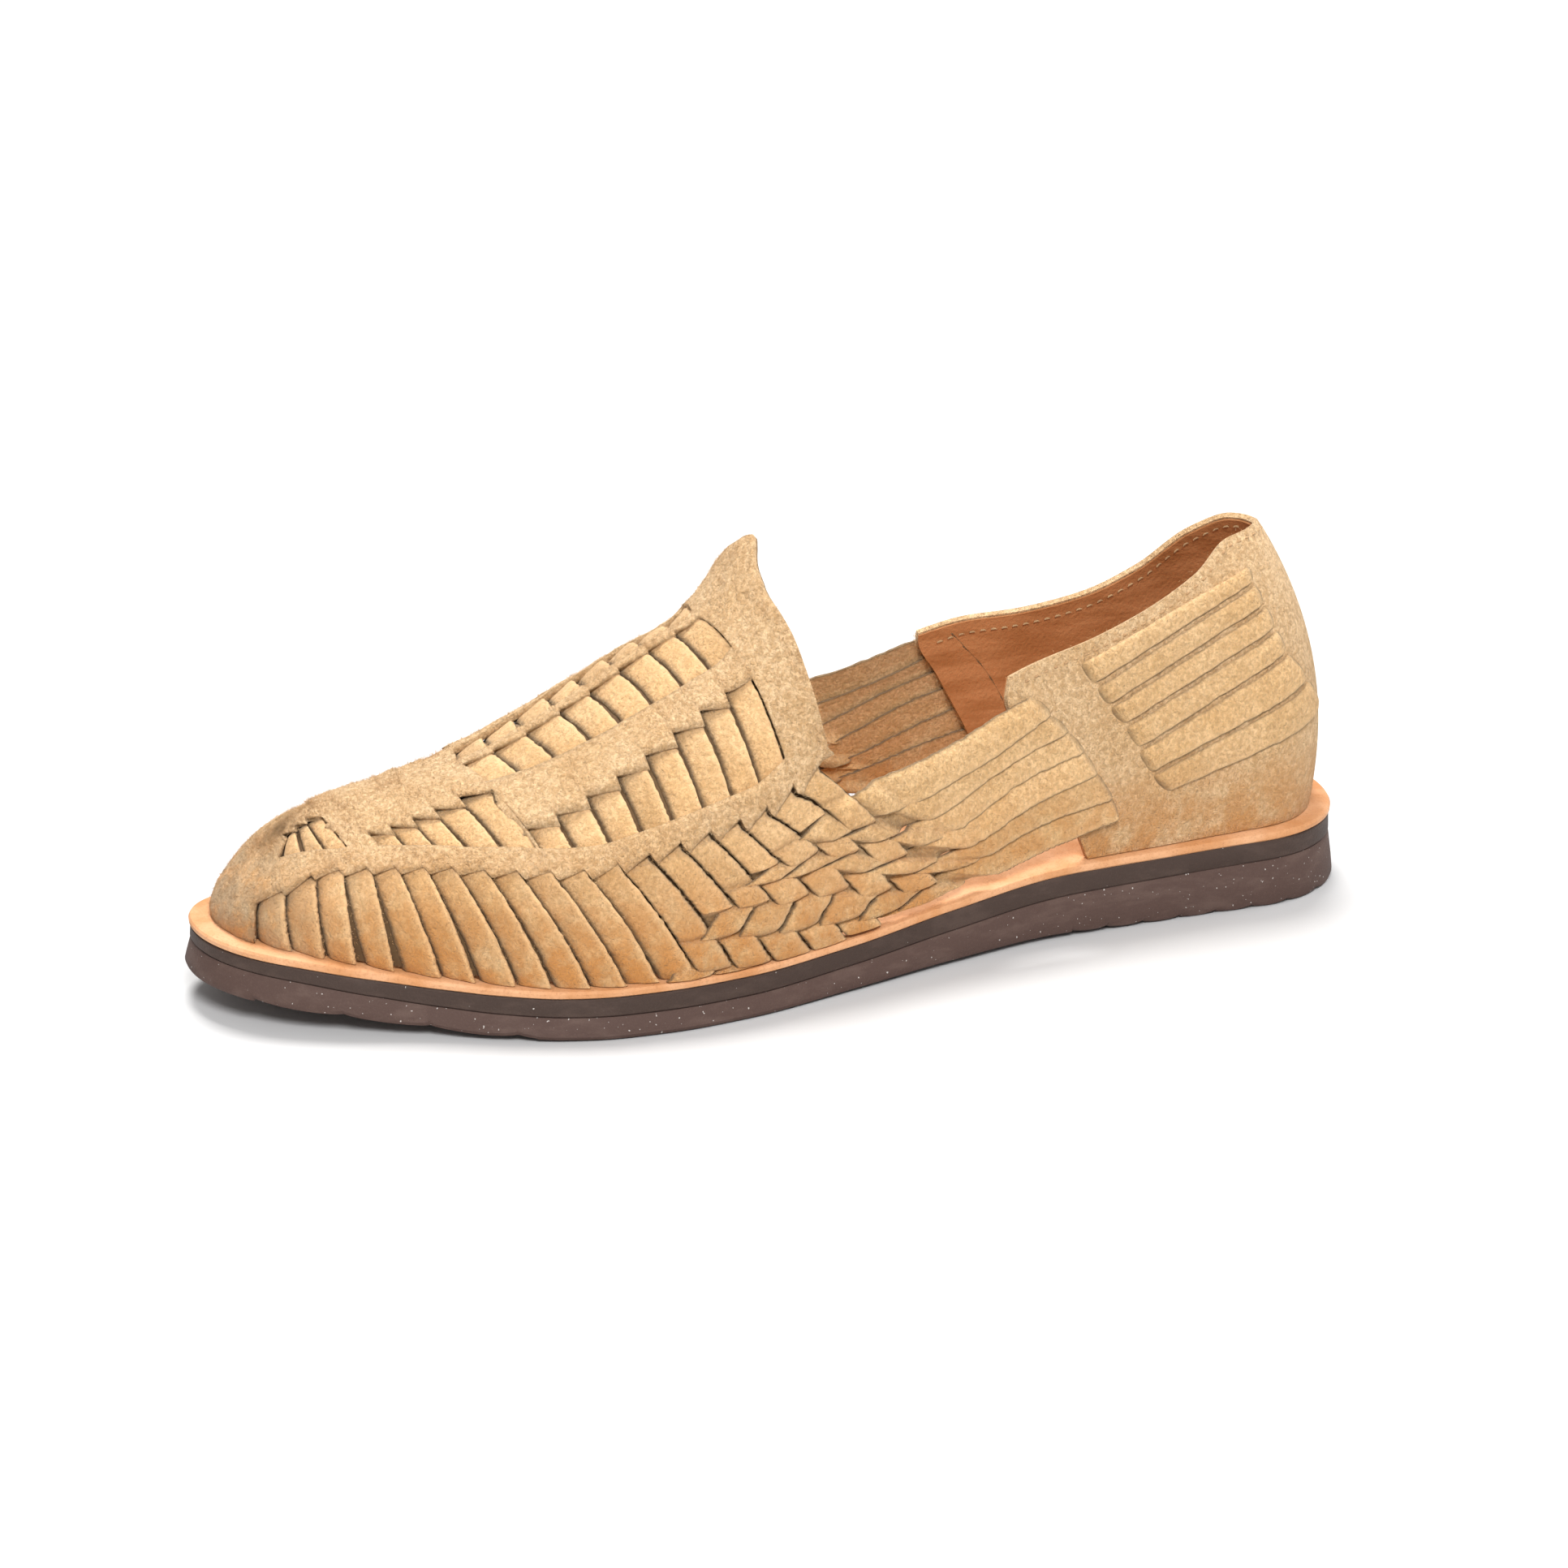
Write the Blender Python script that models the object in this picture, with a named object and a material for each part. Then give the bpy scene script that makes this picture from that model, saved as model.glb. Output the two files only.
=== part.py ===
"""Woven suede huarache sandal, left shoe, standing on its sole.

Four pieces: a rippled rubber outsole, a midsole, an insole board that stands proud as a flange,
and a one-piece upper of woven straps, vamp and heel counter.
Metres, +Z up. The toe points to -Y and the outer side of the foot to +X.
The origin is on the floor, under the middle of the sole.
"""
import math

import bmesh
import bpy
import numpy as np

# Driving sizes
SOLE_LENGTH = 0.302
BALL_WIDTH = 0.099
INSTEP_HEIGHT = 0.100
TOE_SPRING = 0.0175
HEEL_THICKNESS = 0.0124
MIDSOLE_THICKNESS = 0.0052
INSOLE_THICKNESS = 0.0020
LAYER_GAP = 0.0003
TOE_ROUND = 0.040
HEEL_ROUND = 0.033
ROUND_POWER = 2.2
TOE_SWING = 0.0115
HEEL_SWING = 0.0028
OUTSOLE_FLARE = 0.0016
SOLE_EDGE_BEVEL = 0.0009
TREAD_DEPTH = 0.0011
TREAD_WIDTH = 0.0032

# Leather thicknesses, measured out from the last
WALL = 0.0021
BAND_RISE = 0.0005
STRIP_LOW = 0.0013
STRIP_HIGH = 0.0024
STRAP_TOP = 0.0033
STRAP_UNDER = 0.0015
STRAP_SEAT = 0.0008
COUNTER_WALL = 0.0021
HEEL_STRAP_TOP = 0.0029
STRAP_GAP = 0.0005
STRAP_SINK = 0.0004

STRIPS = 19
FIRST_STRIP = 0.040
STRIP_PITCH = 0.0235
STRIP_EDGE = 0.0014
GROUP_EDGE = 0.006
STEP_RUN = 0.006
SAW_RISE = 0.02
SIDE_ROWS = 5
TONGUE_COLUMNS = 3
LEAST_BORDER = 0.006

SOLE_STATIONS = 34
STRAP_STATIONS = 20
HEEL_STRAP_STATIONS = 7
STRAPS = 6
HEEL_CLOSER = 1.5
COUNTER_ROWS = 7
COUNTER_COLUMNS = 15
COUNTER_FROM = 0.66
WEAVE_STEEPNESS = 6
LOOSENING_RUN = 0.02


def table(columns, rows):
    """A table of numbers by column name."""
    return dict(zip(columns.split(), np.array(rows, float).T))


# Sole edge: reach to each side of the axis, as shares of the ball width
OUTLINE = table("station outer inner", (
    (0.00, 0.265, 0.275),
    (0.05, 0.259, 0.313),
    (0.11, 0.281, 0.383),
    (0.16, 0.328, 0.441),
    (0.20, 0.382, 0.487),
    (0.25, 0.437, 0.513),
    (0.30, 0.470, 0.520),
    (0.35, 0.480, 0.503),
    (0.40, 0.470, 0.475),
    (0.50, 0.414, 0.414),
    (0.60, 0.350, 0.369),
    (0.70, 0.304, 0.348),
    (0.80, 0.300, 0.336),
    (0.90, 0.316, 0.322),
    (1.00, 0.332, 0.306),
))

# Sole heights: shares of the toe spring, the heel thickness and the midsole thickness
SOLE = table("station bottom outsole midsole", (
    (0.00, 0.48, 0.57, 0.64),
    (0.05, 0.36, 0.57, 0.68),
    (0.11, 0.23, 0.50, 0.78),
    (0.16, 0.12, 0.46, 0.84),
    (0.20, 0.06, 0.45, 0.88),
    (0.25, 0.01, 0.45, 0.90),
    (0.28, 0.00, 0.45, 0.92),
    (0.40, 0.00, 0.45, 0.94),
    (0.50, 0.03, 0.50, 0.92),
    (0.60, 0.06, 0.63, 1.00),
    (0.70, 0.07, 0.79, 1.06),
    (0.76, 0.03, 0.89, 1.02),
    (0.82, 0.00, 0.95, 1.00),
    (0.90, 0.00, 1.00, 1.00),
    (1.00, 0.00, 1.00, 1.00),
))

# Tread grooves across the sole: the first one, the spacing, and how many
TREAD = (
    {"first": 0.045, "pitch": 0.068, "count": 5},
    {"first": 0.728, "pitch": 0.034, "count": 8},
)

# Width of the insole board outside the upper, as shares of the ball width
FLANGE = table("station width", (
    (0.00, 0.086),
    (0.05, 0.066),
    (0.12, 0.045),
    (0.30, 0.032),
    (0.50, 0.036),
    (0.75, 0.042),
    (0.93, 0.059),
    (1.00, 0.076),
))

# Ridge of the last: sideways swing by the ball width, height by the instep height
RIDGE = table("station swing height", (
    (0.055, -0.105, 0.350),
    (0.095, -0.100, 0.436),
    (0.130, -0.092, 0.460),
    (0.177, -0.085, 0.482),
    (0.247, -0.075, 0.543),
    (0.317, -0.065, 0.646),
    (0.360, -0.060, 0.722),
    (0.397, -0.055, 0.785),
    (0.423, -0.050, 0.825),
    (0.450, -0.048, 0.910),
    (0.475, -0.046, 1.015),
    (0.520, -0.042, 1.070),
    (0.600, -0.035, 1.070),
    (0.750, -0.030, 1.020),
    (0.890, -0.028, 1.020),
))

# Cross-sections of the last: how far the ridge point runs ahead of the feather point,
# the roundness of sides and crown, and bulge and lean as shares of the ball width
FORM = table("station fan sides crown bulge lean", (
    (0.00, 0.060, 1.55, 1.50, 0.020, 0.00),
    (0.10, 0.030, 1.85, 1.90, 0.012, 0.00),
    (0.20, 0.000, 2.00, 2.05, 0.008, 0.00),
    (0.35, 0.000, 2.00, 1.95, 0.010, 0.00),
    (0.50, 0.000, 1.90, 1.80, 0.010, 0.00),
    (0.70, 0.000, 2.00, 2.00, 0.015, 0.04),
    (0.90, -0.050, 2.00, 2.00, 0.030, 0.06),
    (1.00, -0.100, 2.00, 2.00, 0.040, 0.02),
))

# How far a side strip runs back between the band and the feather, and its slant above the band
SLANT = table("station run above", (
    (0.000, 0.000, 0.000),
    (0.040, 0.004, 0.030),
    (0.080, 0.011, 0.080),
    (0.130, 0.020, 0.130),
    (0.220, 0.037, 0.080),
    (0.310, 0.047, 0.040),
    (0.355, 0.060, 0.030),
    (0.400, 0.078, 0.030),
    (0.445, 0.098, 0.035),
    (0.490, 0.120, 0.040),
))

# Edges of the plain band, as heights on the arch
BAND = table("station low high centre", (
    (0.000, 0.34, 0.58, 0.90),
    (0.050, 0.36, 0.61, 0.90),
    (0.100, 0.48, 0.62, 0.89),
    (0.180, 0.47, 0.60, 0.88),
    (0.250, 0.41, 0.53, 0.85),
    (0.320, 0.35, 0.44, 0.79),
    (0.420, 0.34, 0.42, 0.76),
    (0.500, 0.34, 0.43, 0.76),
))

# Woven windows in the vamp: strips from first to last, upper ends climbing to the rear
WINDOWS = (
    {"first": 1, "last": 3, "low": 0.78, "high": 0.85},
    {"first": 5, "last": 9, "low": 0.67, "high": 0.78},
    {"first": 10, "last": 17, "low": 0.56, "high": 0.655},
)
CENTRE_STRIPS = (10, 17)

# Rear edge of the vamp: tongue, throat corner and the last woven strip
REAR_EDGE = table("station row", (
    (0.00, 0.612),
    (0.10, 0.590),
    (0.20, 0.560),
    (0.27, 0.530),
    (0.30, 0.508),
    (0.34, 0.500),
    (0.42, 0.482),
    (0.52, 0.474),
    (0.85, 0.476),
    (1.00, 0.485),
))

# Lift of the weave off the insole towards its rear end
BOTTOM_LIFT = table("station lift", (
    (0.00, 0.000),
    (0.46, 0.000),
    (0.52, 0.018),
    (0.62, 0.045),
))

# Long straps: the lines between them, each through foot, knee, rest, rise and slit,
# as stations and heights on the arch
STRAP_LINES = (
    ((0.345, 0.00), (0.405, 0.200), (0.512, 0.285), (0.610, 0.310), (0.685, 0.352)),
    ((0.381, 0.00), (0.440, 0.195), (0.547, 0.232), (0.630, 0.288), (0.697, 0.315)),
    ((0.418, 0.00), (0.475, 0.165), (0.578, 0.160), (0.640, 0.240), (0.711, 0.275)),
    ((0.456, 0.00), (0.500, 0.115), (0.580, 0.118), (0.660, 0.195), (0.723, 0.232)),
    ((0.495, 0.01), (0.540, 0.075), (0.610, 0.085), (0.675, 0.140), (0.734, 0.183)),
    ((0.540, 0.02), (0.575, 0.050), (0.615, 0.060), (0.680, 0.100), (0.746, 0.128)),
    ((0.585, 0.02), (0.600, 0.026), (0.635, 0.030), (0.690, 0.050), (0.752, 0.085)),
)

# Counter: front edge and collar, as heights on the arch
COUNTER_FRONT = table("station row", (
    (0.00, 0.725),
    (0.10, 0.708),
    (0.25, 0.676),
    (0.35, 0.655),
    (0.40, 0.660),
))
COLLAR = table("station outer inner", (
    (0.660, 0.400, 0.360),
    (0.700, 0.435, 0.390),
    (0.750, 0.475, 0.400),
    (0.800, 0.525, 0.425),
    (0.850, 0.595, 0.490),
    (0.900, 0.695, 0.610),
    (0.950, 0.710, 0.680),
    (1.000, 0.690, 0.690),
))

# Heel ends of the straps, raised on the counter: the lines between them
HEEL_LINES = (
    {"front": (0.720, 0.412), "back": (0.905, 0.600)},
    {"front": (0.731, 0.355), "back": (0.903, 0.545)},
    {"front": (0.743, 0.308), "back": (0.905, 0.485)},
    {"front": (0.755, 0.262), "back": (0.907, 0.425)},
    {"front": (0.766, 0.208), "back": (0.912, 0.365)},
    {"front": (0.777, 0.155), "back": (0.930, 0.290)},
    {"front": (0.792, 0.110), "back": (0.950, 0.215)},
)


def smooth(values, column, at):
    """A monotone smooth curve through one column of a table."""
    x, y = values["station"], values[column]
    h, slope = np.diff(x), np.diff(y) / np.diff(x)
    tangent = np.zeros_like(y)
    tangent[0], tangent[-1] = slope[0], slope[-1]
    before, after = slope[:-1], slope[1:]
    w1, w2 = 2 * h[1:] + h[:-1], h[1:] + 2 * h[:-1]
    steady = before * after > 0
    safe = np.where(steady, before * after, 1.0)
    tangent[1:-1] = np.where(steady, (w1 + w2) * safe / (w1 * after + w2 * before + ~steady), 0.0)
    at = np.clip(np.asarray(at, float), x[0], x[-1])
    k = np.clip(np.searchsorted(x, at) - 1, 0, len(h) - 1)
    t = (at - x[k]) / h[k]
    start = (1 + 2 * t) * (1 - t) ** 2 * y[k] + t * (1 - t) ** 2 * h[k] * tangent[k]
    end = t * t * (3 - 2 * t) * y[k + 1] + t * t * (t - 1) * h[k] * tangent[k + 1]
    return start + end


def even_ends(count):
    """Stations from 0 to 1, closer together at both ends."""
    return (1 - np.cos(np.linspace(0, math.pi, count))) / 2


# The sole's outline and heights

def round_end(gap, radius):
    """Share of the full reach that is left near a rounded end."""
    share = np.clip(1 - gap / radius, 0, 1)
    return (1 - share ** ROUND_POWER) ** (1 / ROUND_POWER)


def axis_x(s):
    """The sole's middle line swings inward at the toe and a little at the heel."""
    toe = np.clip(1 - s / 0.3, 0, 1) ** 2
    heel = np.clip((s - 0.6) / 0.4, 0, 1) ** 2
    return -TOE_SWING * toe - HEEL_SWING * heel


def sole_edge(side, s):
    """x of the sole's edge at a station, on the outer (+1) or inner (-1) side."""
    y = s * SOLE_LENGTH
    reach = BALL_WIDTH * smooth(OUTLINE, "outer" if side > 0 else "inner", s)
    return axis_x(s) + side * reach * round_end(y, TOE_ROUND) * round_end(SOLE_LENGTH - y, HEEL_ROUND)


def bottom_z(s):
    return TOE_SPRING * smooth(SOLE, "bottom", s)


def outsole_z(s):
    return bottom_z(s) + HEEL_THICKNESS * smooth(SOLE, "outsole", s)


def midsole_z(s):
    return outsole_z(s) + MIDSOLE_THICKNESS * smooth(SOLE, "midsole", s)


def insole_z(s):
    return midsole_z(s) + LAYER_GAP + INSOLE_THICKNESS


def insole_top(s):
    """Top of the built insole, which is straight from one of its stations to the next."""
    stations = even_ends(SOLE_STATIONS)
    return np.interp(s, stations, insole_z(stations))


def tread_stations():
    """Stations of each groove's two lips and its bottom."""
    half = TREAD_WIDTH / 2 / SOLE_LENGTH
    middles = [group["first"] + k * group["pitch"] for group in TREAD for k in range(group["count"])]
    return sorted(m + side * half for m in middles for side in (-1, 0, 1)), middles


def sole_point(side, s, flare):
    """x and y of the sole's edge, with the outline grown by a flare."""
    middle = SOLE_LENGTH / 2
    y = middle + (s * SOLE_LENGTH - middle) * (1 + flare / middle)
    axis = axis_x(s)
    return axis + (sole_edge(side, s) - axis) * (1 + flare / (BALL_WIDTH / 2)), y


def outsole_stations():
    grooves, _ = tread_stations()
    clear = TREAD_WIDTH / SOLE_LENGTH / 3
    plain = [s for s in even_ends(SOLE_STATIONS) if min(abs(s - g) for g in grooves) > clear]
    return sorted(plain + grooves)


# The last

def feather_lines(samples=241):
    """Where the upper meets the insole: the outline moved in by the flange."""
    s = even_ends(samples)
    outer = np.stack([sole_edge(1, s), s * SOLE_LENGTH], 1)
    inner = np.stack([sole_edge(-1, s), s * SOLE_LENGTH], 1)[::-1]
    loop = np.vstack([outer, inner[1:-1]])
    step = np.roll(loop, -1, 0) - np.roll(loop, 1, 0)
    inward = np.stack([-step[:, 1], step[:, 0]], 1)
    inward /= np.linalg.norm(inward, axis=1)[:, None]
    flange = BALL_WIDTH * smooth(FLANGE, "width", loop[:, 1] / SOLE_LENGTH)
    loop = loop + inward * flange[:, None]
    return {1: loop[:samples], -1: np.vstack([loop[:1], loop[samples - 1:][::-1]])}


FEATHER = feather_lines()


def girth_stations():
    """Length along the outer feather line, as a share, and the y that it reaches."""
    line = FEATHER[1]
    run = np.r_[0, np.cumsum(np.linalg.norm(np.diff(line, axis=0), axis=1))]
    return run / run[-1], line[:, 1]


GIRTH = girth_stations()


def feather(side, q):
    y = np.interp(q, *GIRTH)
    x = np.interp(y, FEATHER[side][:, 1], FEATHER[side][:, 0])
    return np.stack([x, y, insole_top(y / SOLE_LENGTH) + LAYER_GAP], -1)


def ridge(s):
    x = BALL_WIDTH * smooth(RIDGE, "swing", s)
    return np.stack([x, s * SOLE_LENGTH, INSTEP_HEIGHT * smooth(RIDGE, "height", s)], -1)


def last(side, q, w):
    """A point of the last: q from toe to heel, w up the arch from the feather to the ridge."""
    q, w = np.broadcast_arrays(np.asarray(q, float), np.asarray(w, float))
    foot = feather(side, q)
    s = foot[..., 1] / SOLE_LENGTH
    ahead = s + smooth(FORM, "fan", s)
    top = ridge(ahead)
    near = 0.002
    slope = (ridge(ahead + near) - ridge(ahead - near))[..., 2] / (2 * near * SOLE_LENGTH)
    turn = w * math.pi / 2
    across = 1 - np.maximum(np.cos(turn), 0) ** (2 / smooth(FORM, "sides", s))
    up = np.sin(turn) ** (2 / smooth(FORM, "crown", s))
    glide = slope * (top[..., 1] - foot[..., 1])
    run = top[..., :2] - foot[..., :2]
    out = -run / (np.linalg.norm(run, axis=-1)[..., None] + 1e-9)
    push = smooth(FORM, "bulge", s) * np.sin(math.pi * up) - smooth(FORM, "lean", s) * up ** 2
    xy = foot[..., :2] + run * across[..., None] + out * (BALL_WIDTH * push * (1 - across))[..., None]
    z = foot[..., 2] + (top[..., 2] - foot[..., 2] - glide) * up + glide * across
    return np.concatenate([xy, z[..., None]], -1)


def last_normal(side, q, w):
    """The direction out of the last."""
    step = 1e-3
    along = last(side, np.clip(q + step, 0, 1), w) - last(side, np.clip(q - step, 0, 1), w)
    upward = last(side, q, np.clip(w + step, 0, 1)) - last(side, q, np.clip(w - step, 0, 1))
    normal = np.cross(along, upward) * side
    return normal / (np.linalg.norm(normal, axis=-1)[..., None] + 1e-12)


def skin(side, q, w, lift):
    """A point at a height above the last, clear of the insole; both sides agree where they meet."""
    q, w, lift = np.broadcast_arrays(np.asarray(q, float), np.asarray(w, float), np.asarray(lift, float))
    normal = last_normal(side, q, w)
    seam = (q <= 0) | (q >= 1) | (w >= 1)
    both = normal + last_normal(-side, q, w)
    both /= np.linalg.norm(both, axis=-1)[..., None] + 1e-12
    normal = np.where(seam[..., None], both, normal)
    point = last(side, q, w) + normal * lift[..., None]
    point[..., 2] = np.maximum(point[..., 2], clearance_z(point))
    return point


def clearance_z(point):
    """Lowest height that keeps clear of the insole under a point."""
    return insole_top(point[..., 1] / SOLE_LENGTH) + LAYER_GAP


def sole_centre():
    """Middle of the outsole's width."""
    edges = [sole_point(side, np.array(outsole_stations()), OUTSOLE_FLARE)[0] for side in (1, -1)]
    return (np.max(edges) + np.min(edges)) / 2


SOLE_CENTRE = sole_centre()


def to_world(points):
    """From lengths measured back from the toe to the part's own frame."""
    return np.asarray(points) - (SOLE_CENTRE, SOLE_LENGTH / 2, 0.0)


# Meshes

def material(name, colour, roughness):
    made = bpy.data.materials.new(name)
    made.use_nodes = True
    shader = made.node_tree.nodes["Principled BSDF"]
    shader.inputs["Base Color"].default_value = (*colour, 1.0)
    shader.inputs["Roughness"].default_value = roughness
    shader.inputs["Metallic"].default_value = 0.0
    return made


def new_collection(name):
    made = bpy.data.collections.new(name)
    bpy.context.scene.collection.children.link(made)
    return made


def mesh_object(name, points, faces, collection, finish=None):
    """An object from points in shoe measures, with its doubles merged and its faces out."""
    shape = bmesh.new()
    verts = [shape.verts.new(p) for p in to_world(points)]
    for face in faces:
        shape.faces.new([verts[i] for i in face])
    bmesh.ops.remove_doubles(shape, verts=shape.verts, dist=1e-6)
    bmesh.ops.dissolve_degenerate(shape, edges=shape.edges, dist=1e-7)
    bmesh.ops.triangulate(shape, faces=shape.faces)
    bmesh.ops.recalc_face_normals(shape, faces=shape.faces)
    mesh = bpy.data.meshes.new(name)
    shape.to_mesh(mesh)
    shape.free()
    made = bpy.data.objects.new(name, mesh)
    collection.objects.link(made)
    if finish:
        mesh.materials.append(finish)
        mesh.shade_smooth()
        mesh.set_sharp_from_angle(angle=math.radians(40))
    return made


def as_cutter(made):
    made.hide_render = True
    made.display_type = "WIRE"
    return made


def grid_faces(rows, columns, start, flip=False):
    faces = []
    for r in range(rows - 1):
        for c in range(columns - 1):
            a = start + r * columns + c
            face = (a, a + 1, a + columns + 1, a + columns)
            faces.append(face[::-1] if flip else face)
    return faces


def sheet_solid(name, outer, inner, open_edges, collection, finish):
    """A wall between two grids of points, closed along the named edges."""
    rows, columns = outer.shape[:2]
    count = rows * columns
    points = np.vstack([outer.reshape(-1, 3), inner.reshape(-1, 3)])
    faces = grid_faces(rows, columns, 0) + grid_faces(rows, columns, count, flip=True)
    runs = {
        "bottom": [c for c in range(columns)],
        "top": [(rows - 1) * columns + c for c in range(columns)],
        "front": [r * columns for r in range(rows)],
        "back": [r * columns + columns - 1 for r in range(rows)],
    }
    for edge in open_edges:
        run = runs[edge]
        for a, b in zip(run, run[1:]):
            faces.append((a, b, b + count, a + count))
    return mesh_object(name, points, faces, collection, finish)


# The sole's three layers

def slab(name, stations, levels, collection, finish):
    """A closed layer; each level gives its height and how far its edge stands out."""
    ring = len(levels)
    points, faces = [], []
    for s in stations:
        for side in (1, -1):
            for height, flare in levels:
                x, y = sole_point(side, s, flare)
                points.append((float(x), float(y), float(height(s))))
    per = 2 * ring
    for i in range(len(stations) - 1):
        a, b = i * per, (i + 1) * per
        for k in range(ring - 1):
            faces.append((a + k, b + k, b + k + 1, a + k + 1))
            faces.append((a + ring + k, a + ring + k + 1, b + ring + k + 1, b + ring + k))
        faces.append((a, a + ring, b + ring, b))
        faces.append((a + ring - 1, b + ring - 1, b + 2 * ring - 1, a + 2 * ring - 1))
    return mesh_object(name, points, faces, collection, finish)


def build_outsole(collection):
    _, middles = tread_stations()

    def groove(s):
        return TREAD_DEPTH if min(abs(s - m) for m in middles) < 1e-6 else 0.0

    levels = (
        (lambda s: bottom_z(s) + groove(s), OUTSOLE_FLARE - SOLE_EDGE_BEVEL),
        (lambda s: bottom_z(s) + groove(s) + SOLE_EDGE_BEVEL, OUTSOLE_FLARE),
        (lambda s: (bottom_z(s) + outsole_z(s)) / 2, OUTSOLE_FLARE * 0.7),
        (lambda s: outsole_z(s) - LAYER_GAP, 0.0),
    )
    rubber = material("brown_rubber", (0.125, 0.083, 0.068), 0.75)
    return slab("outsole", outsole_stations(), levels, collection, rubber)


def build_midsole(collection):
    levels = ((outsole_z, 0.0), (midsole_z, 0.0))
    dark = material("dark_midsole", (0.040, 0.028, 0.023), 0.70)
    return slab("midsole", even_ends(SOLE_STATIONS), levels, collection, dark)


def build_insole(collection):
    levels = (
        (lambda s: midsole_z(s) + LAYER_GAP, 0.0),
        (lambda s: insole_z(s) - INSOLE_THICKNESS * 0.25, 0.0),
        (insole_z, -INSOLE_THICKNESS * 0.25),
    )
    tan = material("insole_leather", (0.560, 0.255, 0.105), 0.60)
    return slab("insole", even_ends(SOLE_STATIONS), levels, collection, tan)


# The vamp: one grid whose columns follow the strips and whose rows follow band and windows

def band_edge(t, column):
    return smooth(BAND, column, t)


def slanted(t, w):
    """Station at height w of a line that leaves the band's lower edge at station t."""
    low = band_edge(t, "low")
    below = smooth(SLANT, "run", t) * (low - w) / low
    above = smooth(SLANT, "above", t) * (low - w)
    return t + np.where(w < low, below, above)


def rear_edge(w):
    return smooth(REAR_EDGE, "row", w)


def window_of(strip):
    """Height of the upper end of a strip's window, or None where the vamp is plain."""
    if strip is None:
        return None
    for window in WINDOWS:
        if window["first"] <= strip <= window["last"]:
            share = (strip - window["first"]) / (window["last"] - window["first"])
            return window["low"] + share * (window["high"] - window["low"])
    return None


def foot_rise(t):
    """How far up the arch a column starts."""
    return float(smooth(BOTTOM_LIFT, "lift", slanted(t, 0.0)))


def column_outside(t, strip, late):
    """Arch heights and lifts up one column; late is 1 at the edge that lies over the next strip."""
    low, high, centre = (float(band_edge(t, c)) for c in ("low", "high", "centre"))
    strip_lift = STRIP_LOW + late * (STRIP_HIGH - STRIP_LOW)
    band_lift = WALL + BAND_RISE
    opened = window_of(strip)
    top = opened or (high + centre) / 2
    woven = WALL if strip is None else strip_lift
    window_lift = strip_lift if opened else WALL
    crossed = strip is not None and CENTRE_STRIPS[0] <= strip <= CENTRE_STRIPS[1]
    centre_lift = strip_lift if crossed else WALL
    edge = low if strip is None else low + SAW_RISE * late
    ahead = max(centre, top + 2 * STEP_RUN)
    rows = [(w, woven) for w in np.linspace(foot_rise(t), edge - STEP_RUN, SIDE_ROWS)]
    rows += [(edge, band_lift), (high - STEP_RUN, band_lift)]
    rows += [(high, window_lift), ((high + top) / 2, window_lift), (top - STEP_RUN, window_lift)]
    rows += [(top, WALL), (ahead, WALL), (ahead + STEP_RUN, centre_lift)]
    rows += [((ahead + 1) / 2, centre_lift), (1.0, centre_lift)]
    return np.array(rows).T


def column_inside(t):
    """Arch heights of the smooth lining; the two sides of a step outside share one point inside."""
    low, high, centre = (float(band_edge(t, c)) for c in ("low", "high", "centre"))
    middle = (high + centre) / 2
    rows = list(np.linspace(foot_rise(t), low, SIDE_ROWS)) + [low, high, high, (high + middle) / 2]
    return np.array(rows + [middle, middle, centre, centre, (centre + 1) / 2, 1.0])


def group_margin(strip, late, t, w):
    """The first and last windows of a group are a little narrower."""
    ends = [window["last" if late else "first"] for window in WINDOWS]
    inward = -1 if late else 1
    return np.where(w >= band_edge(t, "high"), inward * GROUP_EDGE, 0.0) if strip in ends else 0.0


def vamp_columns():
    """Each column: stations, arch heights and lifts outside, then stations and heights inside."""
    plan = [(0.0, 0.0, None, 0), (FIRST_STRIP - STRIP_EDGE, FIRST_STRIP, None, 0)]
    for k in range(STRIPS):
        start = FIRST_STRIP + k * STRIP_PITCH
        end = FIRST_STRIP + (k + 1) * STRIP_PITCH
        plan.append((start + STRIP_EDGE, start, k, 0))
        plan.append((end - STRIP_EDGE, end, k, 1))
    columns = []
    for t, t_inside, strip, late in plan:
        w, lift = column_outside(t, strip, late)
        w_inside = column_inside(t_inside)
        t = t + group_margin(strip, late, t, w)
        columns.append((slanted(t, w), w, lift, slanted(t_inside, w_inside), w_inside))
    q, w, _, q_inside, w_inside = columns[-1]
    lift = np.full(len(w), WALL)
    for k in range(1, TONGUE_COLUMNS + 1):
        share = k / TONGUE_COLUMNS
        border = np.maximum(rear_edge(w), q + LEAST_BORDER)
        lining = np.maximum(rear_edge(w_inside), q_inside + LEAST_BORDER)
        row = (q + (border - q) * share, w, lift, q_inside + (lining - q_inside) * share, w_inside)
        columns.append(row)
    return columns


def build_vamp(collection, finish):
    columns = vamp_columns()
    outer_rows, inner_rows = [], []
    count = len(columns[0][1])
    order = [(1, r) for r in range(count)] + [(-1, r) for r in range(count - 2, -1, -1)]
    for side, r in order:
        q, w, lift, q_inside, w_inside = (np.array([c[k][r] for c in columns]) for k in range(5))
        outside, inside = skin(side, q, w, lift), skin(side, q_inside, w_inside, 0.0)
        if r == 0:
            outside[:, 2] = np.maximum(inside[:, 2], clearance_z(outside))
        outer_rows.append(outside)
        inner_rows.append(inside)
    outer, inner = np.array(outer_rows), np.array(inner_rows)
    return sheet_solid("upper", outer, inner, ("bottom", "top", "back"), collection, finish)


# The counter: one grid round the heel

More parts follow.
